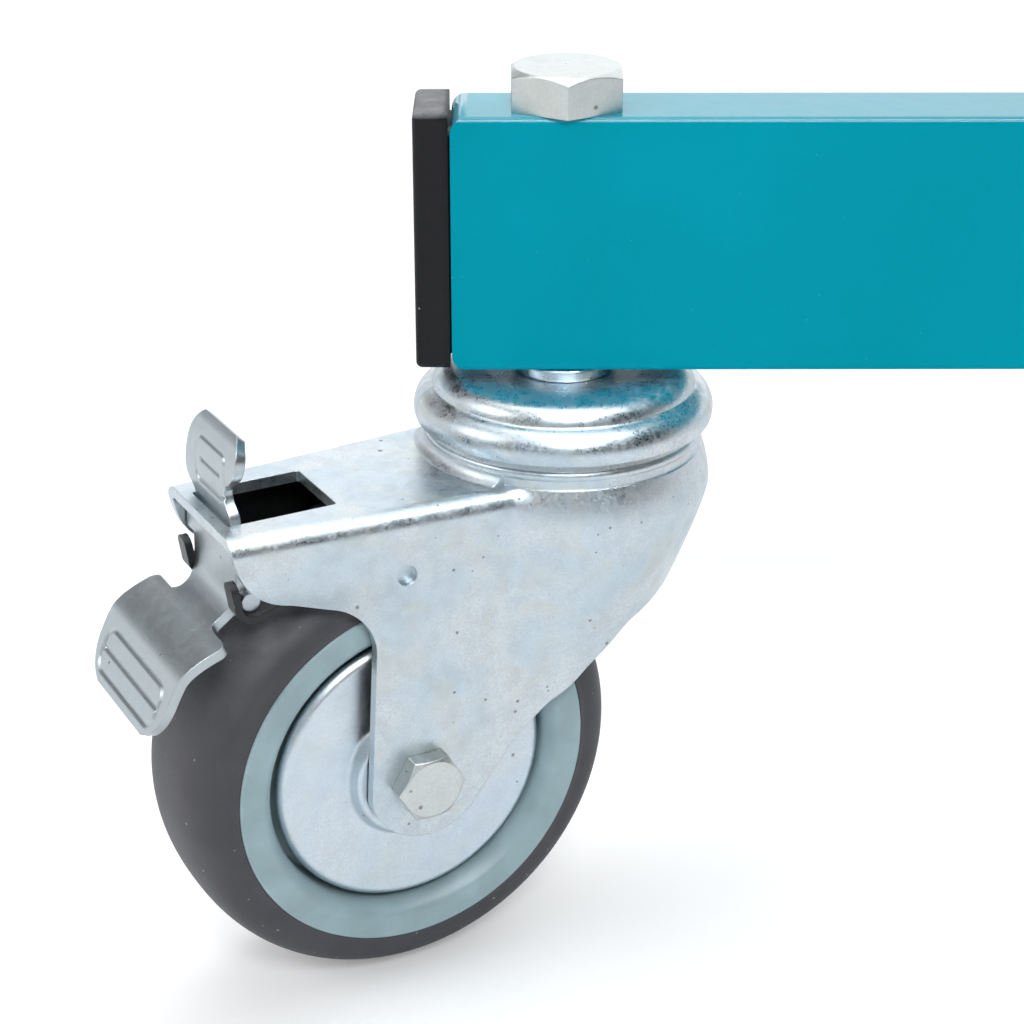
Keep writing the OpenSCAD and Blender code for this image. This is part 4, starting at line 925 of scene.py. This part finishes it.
class CASTOR_OT_stage(bpy.types.Operator):
    """Lays the floor and sets up the lamps, the world and the camera"""

    bl_idname = "castor.stage"
    bl_label = "Stage"

    def execute(self, context):
        count = 25
        span = np.linspace(-3.0, 3.0, count)
        x, y = np.meshgrid(span, span)
        points = np.stack([x, y, np.full_like(x, FLOOR_Z)], axis=-1).reshape(-1, 3)
        faces = quads(count, count, False, False)[:, ::-1]
        floor = new_object("floor", new_mesh("floor", points, faces))
        floor.data.materials.append(finish_of("floor_paper"))
        self.light_room(context.scene)
        self.hang_lamps(context.scene)
        data = bpy.data.cameras.new("camera")
        data.lens = 81.09
        data.sensor_width = 36.0
        data.clip_start = 0.01
        camera = bpy.data.objects.new("camera", data)
        camera.location = (-0.10918, -0.3423, 0.10822)
        camera.rotation_euler = (math.radians(90 - 24.47), 0.0, math.radians(-0.17))
        context.scene.collection.objects.link(camera)
        context.scene.camera = camera
        context.scene.view_settings.view_transform = "Standard"
        return {"FINISHED"}

    def light_room(self, scene):
        """A pale room, brighter behind the object than before it, with two dark openings and the
        desk that stands over the castor, teal in its middle. The camera itself sees white."""
        scene.world = bpy.data.worlds.new("studio")
        scene.world.use_nodes = True
        w = Wiring(scene.world.node_tree)
        hue, strength = w.tree.nodes["Background"].inputs[:2]
        side = w.put("ShaderNodeTexCoord").outputs["Generated"]
        room = w.between(w.split(side)[1], -0.7, 0.85, 0.32, 1.35)
        # Each one's direction, the cosines where it starts and is full, and the light left in it
        for way, start, full, left in (((0.76, -0.52, 0.38), 0.7, 0.93, 0.12),
                                       ((-0.6, 0.55, 0.58), 0.84, 0.96, 0.15),
                                       ((0.66, -0.3, 0.69), 0.84, 0.92, 0.15)):
            toward = w.dot(side, way)
            room = w.times(room, w.between(toward, start, full, 1.0, left))
        seen = w.put("ShaderNodeLightPath").outputs["Is Camera Ray"]
        unseen = w.maths("SUBTRACT", 1.0, seen)
        desk = w.times(w.between(toward, 0.9, 0.95), unseen)
        w.join(w.mixed(desk, (0.98, 0.99, 1.0, 1.0), (0.0, 2.2, 3.0, 1.0)), hue)
        w.join(w.plus(w.times(room, unseen), seen), strength)

    def hang_lamps(self, scene):
        """Soft lamps turned to the castor; the strip shows only in gloss."""
        target = Vector((-0.11, -0.01, -0.04))
        for name, place, width, height, power in (("top_softbox", (-0.3, 0.25, 1.1), 0.8, 0.8, 3.0),
                                                  ("front_softbox", (0.05, -1.0, 0.9), 0.5, 0.35, 6.5),
                                                  ("left_softbox", (-1.15, -0.35, 0.7), 0.6, 0.6, 3.0),
                                                  ("strip_light", (0.1, -0.45, 1.05), 0.9, 0.3, 9.0)):
            data = bpy.data.lights.new(name, "AREA")
            data.shape = "RECTANGLE"
            data.size = width
            data.size_y = height
            data.energy = power
            lamp = bpy.data.objects.new(name, data)
            lamp.location = place
            lamp.rotation_euler = (target - Vector(place)).to_track_quat("-Z", "Y").to_euler()
            lamp.visible_camera = False
            lamp.visible_diffuse = name != "strip_light"
            scene.collection.objects.link(lamp)


class CASTOR_OT_rail(bpy.types.Operator):
    """Dresses the foot rail and its end cap"""

    bl_idname = "castor.rail"
    bl_label = "Foot rail and cap"

    def execute(self, context):
        carry("foot_rail", "rail", "teal_paint", angle=28.0)
        carry("rail_end_cap", "rail", "black_plastic", angle=28.0)
        return {"FINISHED"}


class CASTOR_OT_bolts(bpy.types.Operator):
    """Builds the castor bolt, the axle bolt and their nuts, and dresses the washer"""

    bl_idname = "castor.bolts"
    bl_label = "Bolts and nuts"

    def execute(self, context):
        s = sizes()
        low, high = (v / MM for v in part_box("castor_bolt"))
        nut_low, nut_high = (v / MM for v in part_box("castor_nut"))
        flats = high.x - low.x
        ground = RAIL_LOW.z / MM
        rail_top = (RAIL_HIGH.z - RAIL_LOW.z) / MM
        tip = low.z - ground
        shank = s["bolt"]
        bolt = [*hex_rings(flats, rail_top, high.z - ground)[::-1],
                (shank, rail_top), (shank, tip + 1), (0.8 * shank, tip)]
        nut_foot = nut_low.z - ground
        nut_top = nut_high.z - ground
        nut = [*hex_rings(flats, nut_foot, nut_top, 30), (shank + PLAY, nut_top), (shank + PLAY, nut_foot)]
        head = s["leg_half"] + PLAY
        end = s["leg_half"] + s["axle_nut"] + 0.4 * s["axle"]
        axle = [*hex_rings(s["axle_flats"], head, head + s["axle_head"], 30)[::-1],
                (s["axle"], head), (s["axle"], -end)]
        back = -head - s["axle_nut"]
        axle_nut = [*hex_rings(s["axle_flats"], -head, back, 30),
                    (s["axle"] + PLAY, back), (s["axle"] + PLAY, -head)]
        for node, body, rings, place in (("castor_bolt", "rail", bolt, under_swivel),
                                         ("castor_nut", "rail", nut, under_swivel),
                                         ("axle_bolt", "fork", axle, on_axle),
                                         ("axle_nut", "fork", axle_nut, on_axle)):
            if node.endswith("nut"):
                made = revolve(rings, BOLT_STEPS)
            else:
                made = dome([(0.0, rings[0][1]), *rings, (0.0, rings[-1][1])], BOLT_STEPS)
            dress(tool(node + "_shown", made, place), node, body, "bolt_zinc")
        carry("bolt_washer", "rail", "bolt_zinc")
        return {"FINISHED"}


class CASTOR_OT_swivel(bpy.types.Operator):
    """Builds the race cap and the kingpin, and dresses the swivel's hidden rings"""

    bl_idname = "castor.swivel"
    bl_label = "Swivel head"

    def execute(self, context):
        s = sizes()
        # The cap's two bulges, each an arc about its own centre, and their inside 1.6 mm further in
        upper, upper_z, upper_in = 3.3, -4.8, 1.7
        lower, lower_z, lower_in = 3.8, -8.1, 2.2
        upper_x = s["crease"] - upper
        lower_x = s["race_cap"] - lower
        bore = 6.65
        outer = np.concatenate([[[bore, -2.0], [12.0, -2.0], [13.0, -1.5]],
                                arc(upper_x, upper_z, upper, 90, 10, 40),
                                arc(lower_x, lower_z, lower, 73, -22, 48)])
        inner = np.concatenate([[outer[-1] - [0.6, 0.3]], arc(lower_x, lower_z, lower_in, -22, 60, 24),
                                arc(upper_x, upper_z, upper_in, 30, 90, 24),
                                [[13.0, -3.1], [12.5, -3.6], [bore, -3.6]]])
        cap = tool("race_cap_shown", revolve(np.concatenate([outer, inner])), under_swivel)
        dress(cap, "upper_race_cap", "rail", "zinc_plate", "race_zinc", angle=30.0)
        foot = (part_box("kingpin")[0].z - RAIL_LOW.z) / MM
        inside, neck, collar, rivet = 5.25, 6.6, 8.1, 8.6
        pin = soften([[inside, 0.0], [collar, 0.0], [collar, -2.0], [neck, -2.0], [neck, foot + 1.5],
                      [rivet, foot + 1.5], [rivet, foot], [inside, foot]], 0.5)
        dress(tool("kingpin_shown", revolve(pin), under_swivel), "kingpin", "rail", "zinc_plate",
              "race_zinc", angle=50.0)
        carry("lower_race_cup", "rail", "zinc_plate")
        carry("swivel_lock_ring", "rail", "black_steel")
        for node in ("upper_balls", "lower_balls"):
            carry(node, node, "ball_steel", angle=60.0, weighted=False)
        return {"FINISHED"}


class CASTOR_OT_fork(bpy.types.Operator):
    """Builds the pressed fork: arm, crown, neck, skirt and legs"""

    bl_idname = "castor.fork"
    bl_label = "Fork"

    def execute(self, context):
        s = sizes()
        t = s["fork_sheet"]
        fork = tool("swivel_fork_shown", fork_block(s, 0.0, bend_rows=14, rows=90, cols=150))
        half = arm_width(s, s["crown"]) - 3
        fillet = tool("fillet", neck_fillet(s))
        fillet_side = tool("fillet_side", box_between([0, -half, -20], [s["crown"] + NECK_FILLET, half, 0]))
        combine(fillet, [("INTERSECT", fillet_side)])
        start, end = s["window_start"], s["window_start"] + s["window_length"]
        window = soften([[start, -s["window_half"]], [end, -s["window_half"]],
                         [end, s["window_half"]], [start, s["window_half"]]], 0.6)
        hole, hole_faces = prism(window, -22, -8)
        hole = hole[:, [0, 2, 1]], [face[::-1] for face in hole_faces]
        rivet_bore = tube_between(8.8, -30, 0)
        axle_bore = sideways(tube_between(s["axle"] + 0.1, -40, 40), AXLE_OFFSET, -AXLE_DROP)
        steps = [("UNION", fillet),
                 ("INTERSECT", tool("side", prism(fork_outline(s), -60, 60))),
                 ("UNION", tool("crown", crown_block(s, 0.0, s["arm_top"] + t))),
                 ("DIFFERENCE", tool("inside", fork_block(s, t, bend_rows=10, rows=70, cols=110))),
                 ("DIFFERENCE", tool("crown_inside", crown_block(s, t, s["arm_top"] + 2 * t))),
                 *[("UNION", tool("peg", made)) for made in dimples(s, -0.95, t / 2, 0.0)],
                 ("DIFFERENCE", tool("window", hole)),
                 ("DIFFERENCE", tool("bore", rivet_bore)),
                 ("DIFFERENCE", tool("axle_bore", axle_bore)),
                 *[("DIFFERENCE", tool("dent", made)) for made in dimples(s, -1.0, 1.0, t)]]
        combine(fork, steps)
        mark_inside(s, fork.data)
        dress(fork, "swivel_fork", "fork", "zinc_plate", angle=30.0)
        carry("axle_tube", "fork", "zinc_plate")
        carry("bearing_inner_rings", "fork", "ball_steel")
        return {"FINISHED"}


class CASTOR_OT_wheel(bpy.types.Operator):
    """Builds the tyre, the rim and the two thread guards, and dresses the hub's bearings"""

    bl_idname = "castor.wheel"
    bl_label = "Wheel"

    def execute(self, context):
        s = sizes()
        # The tread's crown is a flattened oval: its drop follows 1 - (1 - place ** 2.5) ** 0.4
        place = np.sin(np.pi / 2 * np.linspace(-1, 1, 121))
        drop = s["tread_drop"] * (1 - (1 - np.abs(place) ** 2.5) ** 0.4)
        top = np.stack([WHEEL_RADIUS - drop, place * s["tread_half"]], axis=1)
        rim = s["rim"] + PLAY
        side = s["rim_half"] - 0.3
        bead, bead_half = rim - 1.2, 3.95
        foot = [[rim, side], [rim, bead_half], [bead, bead_half], [bead, -bead_half], [rim, -bead_half],
                [rim, -side]]
        tyre = tool("tyre_shown", revolve(np.concatenate([top, foot]), WHEEL_STEPS), on_axle)
        dress(tyre, "tyre", "wheel", "tread_rubber", angle=30.0)
        inner, face, wide = s["rim_inner"], s["rim_face"], s["rim_half"]
        hub, seat, shoulder = 11.0, 8.55, 7.25
        hub_half, seat_half = wide - 2.9, wide - 7.95
        bevel = corner_cut([[face + 1.2, wide], [face, wide], [inner, wide - 2.4], [inner, wide - 4.4]], 2)
        half = np.array([[s["rim"] - 1.2, 4.0], [s["rim"], 4.0], [s["rim"], side], [s["rim"] - 0.3, wide],
                         *bevel, [inner, 5.0], [hub, 3.5], [hub, hub_half], [seat, hub_half],
                         [seat, seat_half], [shoulder, seat_half]])
        section = soften(np.concatenate([half, half[::-1] * [1, -1]]), 0.3, 5)
        dress(tool("rim_shown", revolve(section, WHEEL_STEPS), on_axle), "wheel_rim", "wheel", "grey_rim",
              angle=40.0)
        tube = s["leg_half"] - s["fork_sheet"] - 0.3
        level = wide - 1.6
        boss, edge, bore, sheet = s["guard_boss"], s["guard"], 4.05, 0.8
        guard = [[bore, tube - sheet], [bore, tube], [boss, tube], [boss + 0.9, level], [edge - 0.9, level],
                 [edge, level - 0.9], [edge, level - 1.7], [edge - 1.3, level - sheet],
                 [boss + 0.5, level - sheet], [boss - 0.4, tube - sheet]]
        points, faces = revolve(soften(guard, 0.55, 8), WHEEL_STEPS)
        for node, side in (("front_thread_guard", 1), ("rear_thread_guard", -1)):
            piece = tool(node + "_shown", (points * [1, 1, side], faces[:, ::side]), on_axle)
            dress(piece, node, "fork", "guard_zinc", angle=50.0)
        carry("bearing_outer_rings", "wheel", "ball_steel")
        carry("bearing_balls", "bearing_balls", "ball_steel")
        return {"FINISHED"}


class CASTOR_OT_brake(bpy.types.Operator):
    """Builds the pedal as one bent sheet with pressed lines, and dresses the brake plate"""

    bl_idname = "castor.brake"
    bl_label = "Brake"

    def execute(self, context):
        s = sizes()
        height = s["arm_top"] - 0.5
        mouth_top = s["arm_top"] + s["fork_sheet"] + 1.5
        hook_x = s["arm_end"] - 3.9
        face_x = hook_x + 1.7
        line = pedal_line(s, face_x, height, mouth_top)
        x, z = line[:, 0], line[:, 1]
        up = (z + s["arm_top"]) / height
        left, right = pedal_widths(s, x, z, up, face_x + 4.2, mouth_top)
        # A row is doubled wherever the width steps, so that the step is a square edge
        jump = np.nonzero((np.abs(np.diff(left)) > 0.8) | (np.abs(np.diff(right)) > 0.8))[0]
        order = np.sort(np.concatenate([np.arange(len(line)), jump + 1]))
        twin = np.concatenate([[False], np.diff(order) == 0])
        source = np.where(np.roll(twin, -1), order - 1, order)
        left, right = left[source, None], right[source, None]
        run = np.concatenate([[0], np.cumsum(np.hypot(np.diff(x[order]), np.diff(z[order])))])[:, None]
        x, z, up = x[order, None], z[order, None], up[order, None]
        y = left + (right - left) * np.linspace(0, 1, 101)[None, :]
        pad_mid = run[-1] - s["pad_length"] / 2 - 0.3
        pad = pressed_lines(y, run - pad_mid, s["pad_half"] - 2.6, 3.4, 2.2, 0.3, s["pad_half"] - 3)
        tab = pressed_lines(y + 0.4, run - 0.55 * height, 5.6, 3.6, 1.6, 0.28, 3.9) * (up > 0)
        # Both faces are the line moved inwards along its normal: the front by the pressed lines'
        # depth, the back by the sheet's thickness
        ahead_x = np.gradient(line[:, 0])[order, None]
        ahead_z = np.gradient(line[:, 1])[order, None]
        size = np.hypot(ahead_x, ahead_z)
        front, back = (np.stack([x + ahead_z / size * depth, y, z - ahead_x / size * depth], axis=-1)
                       for depth in (s["groove"] * np.maximum(pad, tab), np.full_like(y, s["pedal_sheet"])))
        pedal = tool("brake_pedal_shown", thick_sheet(front, back))
        lug_half = s["arm_end_half"] - s["fork_sheet"] - 1.5
        lug = sideways(tube_between(1.5, -lug_half, lug_half, 64), hook_x, LUG_Z)
        combine(pedal, [("UNION", tool("lug", lug))])
        dress(pedal, "brake_pedal", "brake_pedal", "pedal_zinc", angle=40.0)
        carry("brake_plate", "brake_plate", "black_steel", angle=28.0)
        return {"FINISHED"}


class CASTOR_PT_panel(bpy.types.Panel):
    """Lists the steps in the sidebar"""

    bl_label = "Castor"
    bl_idname = "CASTOR_PT_panel"
    bl_space_type = "VIEW_3D"
    bl_region_type = "UI"
    bl_category = "Castor"

    def draw(self, context):
        for step in STEPS:
            self.layout.operator("castor." + step)
        for group in (context.scene.castor_sizes, context.scene.castor_colours):
            for name in type(group).__annotations__:
                self.layout.prop(group, name)


STEPS = ("finishes", "stage", "rail", "bolts", "swivel", "fork", "wheel", "brake")
CLASSES = (CastorSizes, CastorColours, CASTOR_OT_finishes, CASTOR_OT_stage, CASTOR_OT_rail,
           CASTOR_OT_bolts, CASTOR_OT_swivel, CASTOR_OT_fork, CASTOR_OT_wheel, CASTOR_OT_brake,
           CASTOR_PT_panel)


def register():
    """Adds the classes, and the sizes and colours as the scene's own properties."""
    for cls in CLASSES:
        bpy.utils.register_class(cls)
    bpy.types.Scene.castor_sizes = bpy.props.PointerProperty(type=CastorSizes)
    bpy.types.Scene.castor_colours = bpy.props.PointerProperty(type=CastorColours)


def unregister():
    """Takes them away again."""
    del bpy.types.Scene.castor_sizes
    del bpy.types.Scene.castor_colours
    for cls in reversed(CLASSES):
        bpy.utils.unregister_class(cls)


def main():
    """Runs every step in order."""
    register()
    for step in STEPS:
        getattr(bpy.ops.castor, step)()


if __name__ == "__main__":
    main()
